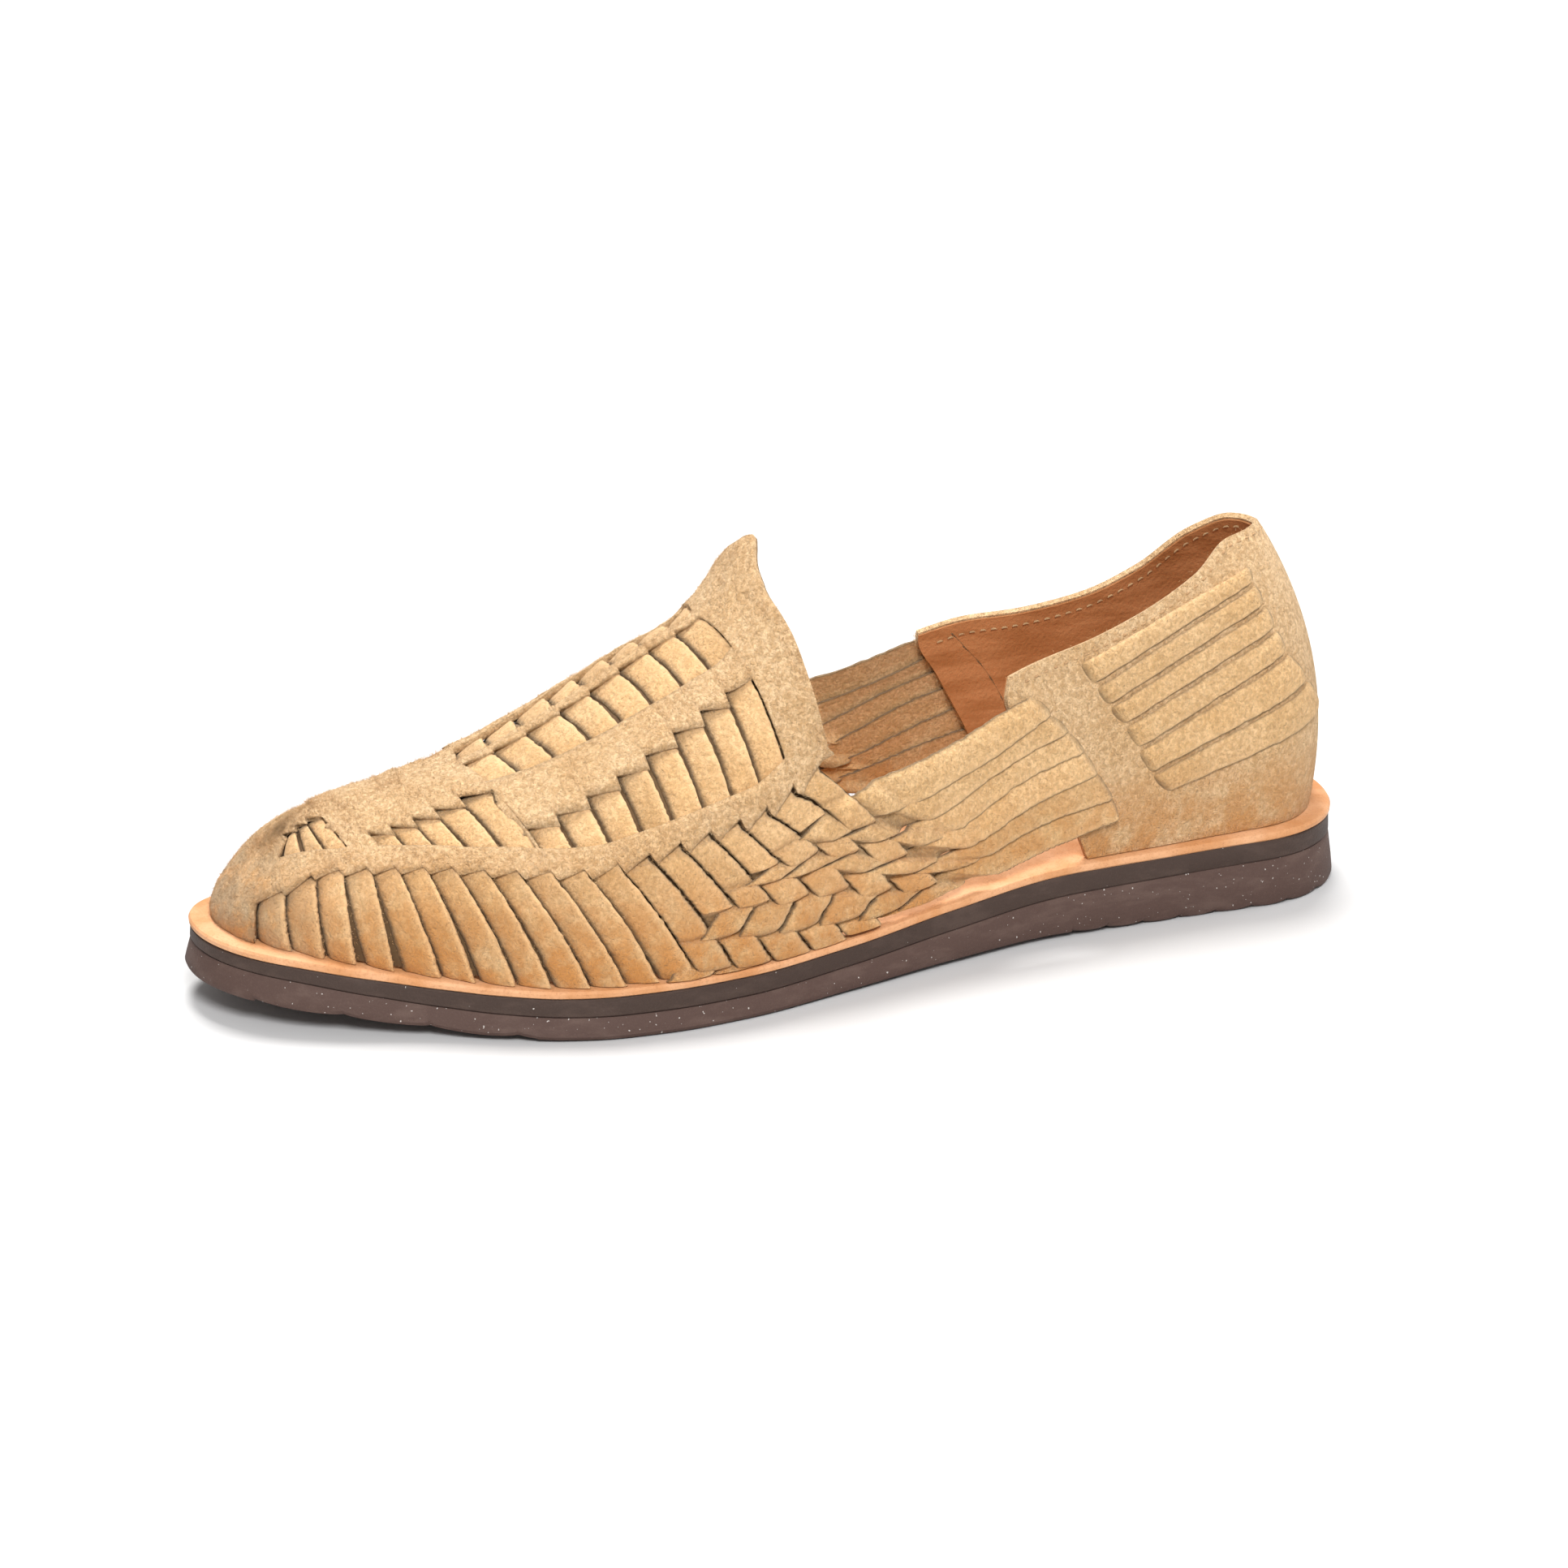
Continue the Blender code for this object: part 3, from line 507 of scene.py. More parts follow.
def fibres(pile, points, normals, count, length, rng, tone=0.8):
    """Short closed spikes of nap that stand on a leather face."""
    points, normals = points.reshape(-1, 3), normals.reshape(-1, 3)
    pick = rng.integers(0, len(points), count)
    root = points[pick] + rng.normal(0, 0.0006, (count, 3))
    normal = normals[pick]
    root = root - normal * np.sum((root - points[pick]) * normal, axis=1)[:, None] - normal * 0.0001
    lean = normal * rng.uniform(0.35, 1.0, (count, 1)) + rng.normal(0, 0.75, (count, 3))
    lean /= np.linalg.norm(lean, axis=1)[:, None]
    below = np.sum(lean * normal, axis=1)[:, None]
    lean = np.where(below < 0, lean - 2 * below * normal, lean)
    tip = root + lean * (length * rng.uniform(0.5, 1.3, (count, 1)))
    across = np.cross(lean, rng.normal(size=(count, 3)))
    across /= np.linalg.norm(across, axis=1)[:, None] + 1e-9
    other = np.cross(lean, across)
    radius = FIBRE_RADIUS
    corners = [root + across * radius, root - across * radius * 0.5 + other * radius * 0.87]
    corners += [root - across * radius * 0.5 - other * radius * 0.87, tip]
    verts = np.stack(corners, 1).reshape(-1, 3)
    faces = []
    for i in range(0, 4 * count, 4):
        faces += [[i, i + 2, i + 1], [i, i + 1, i + 3], [i + 1, i + 2, i + 3], [i + 2, i, i + 3]]
    pile.add(verts, faces, tone)


def closed_sheet(top, bottom):
    """Quads of a slab between two grids with the same layout."""
    rows, columns = top.shape[:2]
    count = rows * columns
    faces = grid_quads(rows, columns) + grid_quads(rows, columns, count, flip=True)
    ring = [c for c in range(columns)]
    ring += [r * columns + columns - 1 for r in range(1, rows)]
    ring += [(rows - 1) * columns + c for c in range(columns - 2, -1, -1)]
    ring += [r * columns for r in range(rows - 2, 0, -1)]
    for a, b in zip(ring, ring[1:] + ring[:1]):
        faces.append([b, a, a + count, b + count])
    return np.vstack([top.reshape(-1, 3), bottom.reshape(-1, 3)]), faces


def ribbon(pile, side, line_a, line_b, top_a, top_b, thick, seed, crown, grime_and_shade, painted_shade, tone=0.5):
    """A strip of leather between two lines, each with its own height of top face."""
    rng = np.random.default_rng(seed * 2 + (side > 0))
    share = ACROSS[None, :]
    ragged = rng.normal(0, 0.012, (len(line_a), 2))
    share = share + ragged[:, :1] * (1 - share) + ragged[:, 1:] * share
    q = line_a[:, :1] * (1 - share) + line_b[:, :1] * share
    w = line_a[:, 1:] * (1 - share) + line_b[:, 1:] * share
    level = top_a[:, None] * (1 - share) + top_b[:, None] * share
    arch = crown * (4 * ACROSS * (1 - ACROSS) - 0.5)[None, :]
    top = level + arch - ROUNDING[None, :] * thick * 0.6
    bottom = level + arch * 0.6 - thick + ROUNDING[None, :] * thick * 0.2
    upper, lower = skin(side, q, w, top), skin(side, q, w, bottom)
    normal = last_normal(side, q, w)
    uneven = waves(upper, 0.007, seed) * 0.00022 + waves(upper, 0.0024, seed + 500) * 0.00009
    upper = upper + normal * uneven[..., None]
    verts, faces = closed_sheet(upper, lower)
    if side < 0:
        faces = [face[::-1] for face in faces]
    # Painted shade across the ribbon and where it dives under others; where unshaded, the paler cut edge,
    # partly a painted highlight
    dark = np.broadcast_to(grime_and_shade[None, :], q.shape)
    dark = np.maximum(dark * 0.9, painted_shade[:, None])
    cut_edge_and_highlight = np.broadcast_to(EDGE_AND_HIGHLIGHT_SHARE[None, :], q.shape) * (1 - dark)
    pile.add(verts, faces, tone + rng.normal(0, 0.16), np.stack([dark, dark]), np.stack([cut_edge_and_highlight, cut_edge_and_highlight * 0]))
    return upper, normal


def spline(points, count):
    """Points along a smooth curve through a few points."""
    points = np.asarray(points, float)
    run = np.r_[0, np.cumsum(np.linalg.norm(np.diff(points * (1.0, 0.6), axis=0), axis=1))]
    at = np.linspace(0, run[-1], count)
    lines = [smooth({"station": run, "value": points[:, k]}, "value", at) for k in range(points.shape[1])]
    return np.stack(lines, 1)


def narrowed(line_a, line_b, gap):
    """Both lines moved in by half of a gap, measured on the last."""
    span = skin(1, line_a[:, 0], line_a[:, 1], 0.0) - skin(1, line_b[:, 0], line_b[:, 1], 0.0)
    share = np.clip(gap / 2 / np.linalg.norm(span, axis=1), -0.1, 0.3)[:, None]
    return line_a + (line_b - line_a) * share, line_b + (line_a - line_b) * share


# The vamp's layout

def band_edge(t, column):
    return smooth(BAND, column, t)


def slanted(t, w):
    """Station at height w of a line that leaves the band's lower edge at station t."""
    low = band_edge(t, "low")
    below = smooth(SLANT, "run", t) * (low - w) / low
    above = smooth(SLANT, "above", t) * (low - w)
    return t + np.where(w < low, below, above)


def rear_edge(w):
    return smooth(REAR_EDGE, "row", w)


def window_top(strip):
    for window in WINDOWS:
        if window["first"] <= strip <= window["last"]:
            share = (strip - window["first"]) / (window["last"] - window["first"])
            return window["low"] + share * (window["high"] - window["low"])
    return None


def centre_start(t, strip):
    """Where a strip shows again near the ridge."""
    top = window_top(strip) or 0.0
    return max(float(band_edge(t, "centre")), top + 0.03)


def foot_rise(t):
    return smooth(BOTTOM_LIFT, "lift", slanted(t, 0.0))


def strip_start(k):
    return FIRST_STRIP + k * STRIP_PITCH


# Where straps run over the strips

STRAP_SAMPLES = 90
STRAP_CURVES = [spline(line, STRAP_SAMPLES) for line in STRAP_LINES]


def strap_index(q, w):
    """Which strap covers a point, as a number that grows from the top strap down."""
    heights = []
    for curve in STRAP_CURVES:
        before = curve[0, 1] - (curve[0, 0] - q) * 3.0
        heights.append(np.where(q < curve[0, 0], before, np.interp(q, curve[:, 0], curve[:, 1])))
    index = np.full(np.shape(q), -1.0)
    index = np.where(w > heights[0], -((w - heights[0]) / 0.06), index)
    for j in range(len(heights) - 1):
        high, low = heights[j], heights[j + 1]
        inside = (w <= high) & (w > low)
        index = np.where(inside, j + (high - w) / (high - low + 1e-9), index)
    return np.where(w <= heights[-1], float(STRAPS), index)


def strip_station(q, w):
    """The band station of the strip that passes a point of the side wall."""
    t = np.array(q, float)
    for _ in range(14):
        t = t - (slanted(t, w) - q) * 0.6
    return t


def strap_over(j, q, w):
    """1 where strap j lies over the strips, 0 where it lies under them."""
    cell = (strip_station(q, w) - FIRST_STRIP) / STRIP_PITCH
    swing = np.cos(math.pi * (cell + 0.5 + j))
    over = 1 / (1 + np.exp(-WEAVE_STEEPNESS * swing))
    loose = np.clip((q - rear_edge(w) + 0.004) / 0.02, 0, 1)
    return over * (1 - loose) + loose


def strip_over(k, q, w):
    """1 where strip k lies over the straps, 0 where it lies under them, about half away from them."""
    index = strap_index(q, w)
    swing = np.cos(math.pi * (index - 0.5 + k))
    over = 1 / (1 + np.exp(-WEAVE_STEEPNESS * swing))
    away = np.clip(-index / 0.4, 0, 1)
    return over * (1 - away) + 0.55 * away


# Materials

WARM = (0.62, 0.25, 0.055)
TOE_GREY = (0.40, 0.31, 0.20)
CURL_SHADE = (0.66, 0.54, 0.40)
PAINTED_SHADE_BROWN = (0.085, 0.045, 0.018)
SLIT_PAINTED_SHADE = (0.06, 0.032, 0.014)
SHEEN_TINT = (1.0, 0.86, 0.66)
GRIT = (0.62, 0.58, 0.54)


class Shader:
    """A material's node tree, with short calls for the nodes that the finishes share."""

    def __init__(self, name, colour, roughness):
        self.material = bpy.data.materials.new(name)
        self.material.use_nodes = True
        self.tree = self.material.node_tree
        self.shader = self.tree.nodes["Principled BSDF"]
        self.put("Base Color", (*colour, 1.0))
        self.put("Roughness", roughness)
        self.place = self.node("ShaderNodeTexCoord").outputs["Object"]

    def node(self, kind, **values):
        made = self.tree.nodes.new(kind)
        for key, value in values.items():
            setattr(made, key, value)
        return made

    def join(self, source, target):
        self.tree.links.new(source, target)

    def noise(self, scale, detail=3.0, rough=0.55, stretch=None):
        made = self.node("ShaderNodeTexNoise")
        made.inputs["Scale"].default_value = scale
        made.inputs["Detail"].default_value = detail
        made.inputs["Roughness"].default_value = rough
        source = self.place
        if stretch:
            mapping = self.node("ShaderNodeMapping")
            mapping.inputs["Scale"].default_value = stretch
            self.join(source, mapping.inputs["Vector"])
            source = mapping.outputs["Vector"]
        self.join(source, made.inputs["Vector"])
        return made.outputs["Fac"]

    def ramp(self, source, low, high):
        made = self.node("ShaderNodeMapRange")
        made.interpolation_type = "SMOOTHSTEP"
        made.inputs["From Min"].default_value = low
        made.inputs["From Max"].default_value = high
        self.join(source, made.inputs["Value"])
        return made.outputs["Result"]

    def height(self, axis):
        split = self.node("ShaderNodeSeparateXYZ")
        self.join(self.place, split.inputs["Vector"])
        return split.outputs[axis]

    def times(self, a, b):
        made = self.node("ShaderNodeMath", operation="MULTIPLY")
        for socket, value in zip(made.inputs, (a, b)):
            if isinstance(value, (int, float)):
                socket.default_value = value
            else:
                self.join(value, socket)
        return made.outputs["Value"]

    def mix(self, factor, a, b, blend="MIX"):
        made = self.node("ShaderNodeMix", data_type="RGBA", blend_type=blend)
        for key, value in (("Factor", factor), ("A", a), ("B", b)):
            socket = made.inputs[key]
            if isinstance(value, (int, float)):
                socket.default_value = value
            elif isinstance(value, tuple):
                socket.default_value = (*value, 1.0)
            else:
                self.join(value, socket)
        return made.outputs["Result"]

    def tint(self):
        """Tone, painted shade and paler cut edge (partly a painted highlight) of each piece, as red,
        green and blue.
        """
        source = self.node("ShaderNodeAttribute", attribute_name="tint")
        split = self.node("ShaderNodeSeparateColor")
        self.join(source.outputs["Color"], split.inputs["Color"])
        return split.outputs

    def scaled(self, source, share):
        """A colour made lighter or darker."""
        return self.mix(1.0, source, (share, share, share), "MULTIPLY")

    def colour(self, source):
        self.join(source, self.shader.inputs["Base Color"])

    def bump(self, source, strength, distance, base=None):
        made = self.node("ShaderNodeBump")
        made.inputs["Strength"].default_value = strength
        made.inputs["Distance"].default_value = distance
        self.join(source, made.inputs["Height"])
        if base:
            self.join(base, made.inputs["Normal"])
        return made.outputs["Normal"]

    def normal(self, source):
        self.join(source, self.shader.inputs["Normal"])

    def put(self, socket, value):
        self.shader.inputs[socket].default_value = value


def suede(name, light, dark, nap):
    """Napped leather with curly fibres, cloudy brushing, painted shade in folds and where pieces tuck
    under others, grime on the toe, a paler cut edge that is partly a painted highlight, and a warm foot.
    """
    look = Shader(name, light, 0.95)
    tint = look.tint()
    cloud = look.ramp(look.noise(55, 4, 0.6), 0.36, 0.66)
    curl = look.ramp(look.noise(740, 4, 0.72), 0.36, 0.62)
    fleck = look.ramp(look.noise(1300, 3, 0.7), 0.46, 0.64)
    base = look.mix(look.times(cloud, 0.6), light, dark)
    shade = look.mix(1.0, base, CURL_SHADE, "MULTIPLY")
    curled = look.mix(look.times(curl, 0.75 * nap), look.scaled(base, 1.10), shade)
    speckled = look.mix(look.times(fleck, 0.40), curled, look.scaled(dark, 0.60))
    toned = look.mix(tint["Red"], look.scaled(speckled, 0.84), look.scaled(speckled, 1.10))
    low = look.ramp(look.height("Z"), 0.050, 0.015)
    patchy = look.ramp(look.noise(130, 3, 0.6), 0.25, 0.6)
    glow = look.mix(look.times(look.times(low, patchy), 0.9), toned, WARM)
    toe = look.ramp(look.height("Y"), -0.118, -0.146)
    grime_and_shade = look.times(toe, look.ramp(look.noise(160, 4, 0.65), 0.34, 0.58))
    soiled = look.mix(look.times(grime_and_shade, 0.55), glow, TOE_GREY)
    # Paler cut edges; along the strips' late edges this is partly a painted highlight
    edged = look.mix(look.times(tint["Blue"], 0.55), soiled, look.scaled(light, 1.25))
    # Painted shade: near-black brown where pieces tuck under others, at slit ends and along ribbon edges
    painted_shade = look.ramp(tint["Green"], 0.0, 1.0)
    look.colour(look.mix(look.times(painted_shade, 0.86), edged, PAINTED_SHADE_BROWN))
    fibre = look.bump(look.noise(1500, 4, 0.75), 0.8, 0.0012)
    tufts = look.bump(look.noise(740, 4, 0.72), 0.9 * nap, 0.0018, fibre)
    soft = look.bump(look.noise(150, 3, 0.6), 0.4, 0.0022, tufts)
    look.normal(soft)
    look.put("Sheen Weight", 0.4)
    look.put("Sheen Roughness", 0.5)
    look.put("Sheen Tint", (*SHEEN_TINT, 1.0))
    look.put("Specular IOR Level", 0.15)
    return look.material


def flesh(name, light, dark, roughness, sheen):
    """The inner side of leather: smoother, streaked along the shoe."""
    look = Shader(name, light, roughness)
    tint = look.tint()
    streak = look.ramp(look.noise(120, 4, 0.6, stretch=(1.0, 0.35, 1.6)), 0.35, 0.66)
    speck = look.ramp(look.noise(1100, 2, 0.6), 0.5, 0.75)
    base = look.mix(look.times(speck, 0.3), look.mix(streak, dark, light), dark)
    # Painted shade: faces seen only through slits are painted near black
    look.colour(look.mix(look.times(tint["Green"], 0.9), base, SLIT_PAINTED_SHADE))
    look.normal(look.bump(look.noise(900, 3, 0.6), 0.4, 0.0009))
    look.put("Sheen Weight", sheen)
    look.put("Specular IOR Level", 0.3)
    return look.material


def insole_finish():
    look = Shader("insole_leather", (0.62, 0.32, 0.16), 0.62)
    pale = look.ramp(look.noise(70, 3, 0.6), 0.3, 0.7)
    base = look.mix(pale, (0.54, 0.24, 0.09), (0.70, 0.38, 0.20))
    pores = look.ramp(look.noise(1400, 3, 0.7), 0.5, 0.7)
    look.colour(look.mix(look.times(pores, 0.35), base, (0.33, 0.12, 0.045)))
    look.normal(look.bump(look.noise(1300, 3, 0.65), 0.5, 0.0006))
    look.put("Specular IOR Level", 0.35)
    return look.material


def rubber(name, colour, worn, speck_share, roughness):
    """Matt rubber with scuffs and small pale specks of grit."""
    look = Shader(name, colour, roughness)
    scuff = look.ramp(look.noise(150, 4, 0.65, stretch=(1.0, 0.5, 1.5)), 0.45, 0.72)
    base = look.mix(look.times(scuff, 0.6), colour, worn)
    grain = look.ramp(look.noise(2200, 2, 0.6), 0.52, 0.75)
    grained = look.mix(look.times(grain, 0.3), base, worn)
    specks = look.ramp(look.noise(1250, 1, 0.4), speck_share, speck_share + 0.03)
    look.colour(look.mix(look.times(specks, 0.8), grained, GRIT))
    look.normal(look.bump(look.noise(1500, 3, 0.65), 0.45, 0.0005))
    look.put("Specular IOR Level", 0.3)
    return look.material


# Finishes
SUEDE_SHEET = suede("suede_sheet", (0.94, 0.655, 0.375), (0.80, 0.50, 0.235), 1.0)
SUEDE_STRIP = suede("suede_strip", (0.86, 0.56, 0.285), (0.72, 0.42, 0.17), 0.7)
SUEDE_STRAP = suede("suede_strap", (0.90, 0.60, 0.31), (0.76, 0.46, 0.195), 0.8)
FLESH = flesh("flesh_side", (0.66, 0.40, 0.16), (0.44, 0.235, 0.08), 0.85, 0.15)
LINING = flesh("smooth_lining", (0.50, 0.22, 0.088), (0.37, 0.145, 0.048), 0.62, 0.0)
THREAD = flesh("thread", (0.46, 0.30, 0.15), (0.36, 0.21, 0.10), 0.8, 0.1)
INSOLE = insole_finish()
MIDSOLE = rubber("dark_midsole", (0.048, 0.029, 0.022), (0.080, 0.051, 0.040), 0.80, 0.62)
OUTSOLE = rubber("brown_rubber", (0.080, 0.046, 0.037), (0.125, 0.080, 0.065), 0.745, 0.72)


# Sole

def slab(name, stations, levels, finish, node):
    """A closed layer; each level gives its height and how far its edge stands out."""
    ring = len(levels)
    s = np.asarray(stations)
    columns = []
    for side in (1, -1):
        for height, flare in levels:
            x, y = sole_point(side, s, flare)
            columns.append(np.stack([x, y, height(s)], 1))
    points = np.stack(columns, 1)
    per = 2 * ring
    faces = []
    for i in range(len(s) - 1):
        a, b = i * per, (i + 1) * per
        for k in range(ring - 1):
            faces.append((a + k, b + k, b + k + 1, a + k + 1))
            faces.append((a + ring + k, a + ring + k + 1, b + ring + k + 1, b + ring + k))
        faces.append((a, a + ring, b + ring, b))
        faces.append((a + ring - 1, b + ring - 1, b + 2 * ring - 1, a + 2 * ring - 1))
    made = link(name, to_world(points.reshape(-1, 3)), faces, finish)
    made.data.set_sharp_from_angle(angle=math.radians(35))
    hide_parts(node)


RIPPLES = (
    {"from": 0.030, "to": 0.230, "pitch": 0.062, "depth": 0.0011, "power": 0.5},
    {"from": 0.715, "to": 0.985, "pitch": 0.034, "depth": 0.0012, "power": 0.35},
)


def ripple(s):
    """Height of the tread's hollows between its ridges."""
    rise = np.zeros_like(s)
    for group in RIPPLES:
        share = (s - group["from"]) / group["pitch"]
        hollow = 1 - np.abs(np.sin(math.pi * share)) ** group["power"]
        rise += np.where((s >= group["from"]) & (s <= group["to"]), hollow * group["depth"], 0.0)
    return rise


def build_sole():
    toe_tread, heel_tread = np.linspace(0.02, 0.26, 130), np.linspace(0.70, 0.99, 220)
    s = np.unique(np.round(np.concatenate([even_ends(220), toe_tread, heel_tread]), 5))
    outsole_levels = (
        (lambda s: bottom_z(s) + ripple(s), OUTSOLE_FLARE - 0.0012),
        (lambda s: bottom_z(s) + ripple(s) + 0.0004, OUTSOLE_FLARE - 0.0003),
        (lambda s: bottom_z(s) + ripple(s) + 0.0012, OUTSOLE_FLARE),
        (lambda s: bottom_z(s) * 0.6 + outsole_z(s) * 0.4, OUTSOLE_FLARE * 0.75),
        (lambda s: outsole_z(s) - LAYER_GAP - 0.0004, 0.0002),
        (lambda s: outsole_z(s) - LAYER_GAP * 0.5, -0.0002),
    )
    slab("outsole_tread", s, outsole_levels, OUTSOLE, "outsole")
    s = even_ends(240)
    midsole_levels = (
        (lambda s: outsole_z(s) - LAYER_GAP * 0.5, -0.0004),
        (lambda s: outsole_z(s) + 0.0004, 0.0002),
        (lambda s: midsole_z(s) - 0.0004, 0.0),
        (lambda s: midsole_z(s), -0.0004),
    )
    slab("midsole_layer", s, midsole_levels, MIDSOLE, "midsole")
    insole_levels = (
        (lambda s: midsole_z(s) + LAYER_GAP * 0.3, -0.0003),
        (lambda s: midsole_z(s) + 0.0005, 0.0003),
        (lambda s: insole_z(s) - 0.0008, 0.0004),
        (lambda s: insole_z(s) - 0.0002, 0.0),
        (insole_z, -0.0006),
    )
    slab("insole_board", s, insole_levels, INSOLE, "insole")


# Upper

def lining_sheet():
    """Flesh side of the vamp, seen from the collar; its outside is painted dark as shade in the slits."""
    t = np.concatenate([[0.0], np.linspace(0.012, strip_start(STRIPS), 70)])
    w_share = np.linspace(0, 1, 34)
    pile = Pile()
    for side in (1, -1):
        start = foot_rise(t)[None, :] + 0.015
        w = start + (1 - start) * w_share[:, None]
        q = slanted(t[None, :], w)
        q = np.minimum(q, rear_edge(w) - 0.002)
        top = skin(side, q, w, LINING_TOP)
        bottom = skin(side, q, w, 0.0)
        verts, faces = closed_sheet(top, bottom)
        # Painted shade on the outer face, which is seen only through the slits
        dark = np.stack([np.ones(q.shape), np.zeros(q.shape)])
        pile.add(verts, faces if side > 0 else [face[::-1] for face in faces], 0.5, dark)
    pile.build("vamp_lining", FLESH, "suede")


def sheet_rows(t, strip, fraction):
    """Arch heights up one column of the vamp's sheet, in groups between its edges."""
    low, high, centre = (float(band_edge(t, c)) for c in ("low", "high", "centre"))
    opened = window_top(strip) if strip is not None else None
    top = opened - WINDOW_SAW * (fraction - 0.5) if opened else (high + centre) / 2
    low = low + SAW_RISE * (fraction - 0.4) if strip is not None else low
    ahead = max(centre, top + 0.03)
    crossed = strip is not None and CENTRE_STRIPS[0] <= strip <= CENTRE_STRIPS[1]
    crest = CENTRE_TOP - 0.6 * WINDOW_SAW * (fraction - 0.5) if crossed else CENTRE_TOP
    groups = (
        np.linspace(0.0, low, 8),
        np.linspace(low, high, 8)[1:],
        np.linspace(high, top, 8)[1:],
        np.linspace(top, ahead, 8)[1:],
        np.linspace(ahead, crest, 9)[1:],
        np.linspace(crest, 1.0, 4)[1:],
    )
    return np.concatenate(groups)


def same_group(strip, share):
    """True where the window strip goes on into the next one, so no leather lies between them."""
    if share < LAST_SHARE:
        return True
    return all(strip != window["last"] for window in WINDOWS)


def vamp_sheet():
    """The cut suede of toe cap, band, bridges and tongue, with windows open for the strips."""
    plan = [(t, None, 0) for t in np.linspace(0, FIRST_STRIP, 9)[:-1]]
    for k in range(STRIPS):
        for share in STRIP_SHARES:
            plan.append((strip_start(k) + share * STRIP_PITCH, k, share))
    plan.append((strip_start(STRIPS) - 1e-4, STRIPS - 1, 1.0))
    q_columns, w_columns, owner = [], [], []
    for t, strip, share in plan:
        w = sheet_rows(t, strip, share)
        q_columns.append(slanted(t, w))
        w_columns.append(w)
        owner.append((-1 if strip is None else strip, share))
    border = 7
    q_last, w_last = q_columns[-1], w_columns[-1]
    for k in range(1, border + 1):
        edge = np.maximum(rear_edge(w_last), q_last + 0.006)
        q_columns.append(q_last + (edge - q_last) * k / border)
        w_columns.append(w_last)
        owner.append((STRIPS, 0.0))
    q, w = np.stack(q_columns, 1), np.stack(w_columns, 1)
    rows, columns = q.shape
    keep = np.ones((rows - 1, columns - 1), bool)
    rim = np.zeros(q.shape)
    for c in range(columns - 1):
        strip, share = owner[c]
        if strip < 0:
            continue
        keep[:GROUP_ENDS[0], c] = False
        rim[GROUP_ENDS[0], c] = 1.0
        if strip >= STRIPS:
            continue
        if window_top(strip) and same_group(strip, share):
            keep[GROUP_ENDS[1]:GROUP_ENDS[2], c] = False
            rim[[GROUP_ENDS[1], GROUP_ENDS[2]], c] = 1.0
        first, final = CENTRE_STRIPS
        if first <= strip < final or strip == final and share < LAST_SHARE:
            keep[GROUP_ENDS[3]:GROUP_ENDS[4], c] = False
            rim[[GROUP_ENDS[3], GROUP_ENDS[4]], c] = 1.0
    rng = np.random.default_rng(SEED)
    pile = Pile()
    for side in (1, -1):
        top = skin(side, q, w, BAND_TOP)
        normal = last_normal(side, q, w)
        dents = waves(top, 0.012, SEED) * 0.00030 + waves(top, 0.0032, SEED + 1) * 0.00016
        top = top + normal * (dents - rim * 0.0004)[..., None]
        faces = grid_quads(rows, columns, keep=keep, flip=side < 0)
        # Painted shade along the rims of the openings
        pile.add(top, faces, 0.5, rim * 0.25)
    made = pile.build("vamp_leather", SUEDE_SHEET, "suede", angle=60)
    weld = made.modifiers.new("ridge_and_toe", "WELD")
    weld.merge_threshold = 0.00005
    thick = made.modifiers.new("leather_thickness", "SOLIDIFY")
    thick.thickness = SHEET_THICK
    thick.offset = -1.0
    thick.use_even_offset = False
    used = np.zeros(q.shape, bool)
    used[:-1, :-1] |= keep
    nap = Pile()
    for side in (1, -1):
        top, normal = skin(side, q, w, BAND_TOP), last_normal(side, q, w)
        fibres(nap, top[used], normal[used], VAMP_FIBRES, FIBRE_LENGTH, rng)
    nap.build("vamp_nap", SUEDE_SHEET, "suede")
    return made


def dips(count, start, end):
    """How far a strip has dived under the leather, from 1 at its ends to 0."""
    at = np.linspace(0, 1, count)
    dip = np.zeros(count)
    if start:
        dip += np.clip(1 - at / start, 0, 1) ** 1.4
    if end:
        dip += np.clip(1 - (1 - at) / end, 0, 1) ** 1.4
    return dip


def under_shade(over):
    """Painted shade where a strip or strap dives under another one."""
    return np.clip(0.8 - 1.8 * over, 0, 1) * 0.75


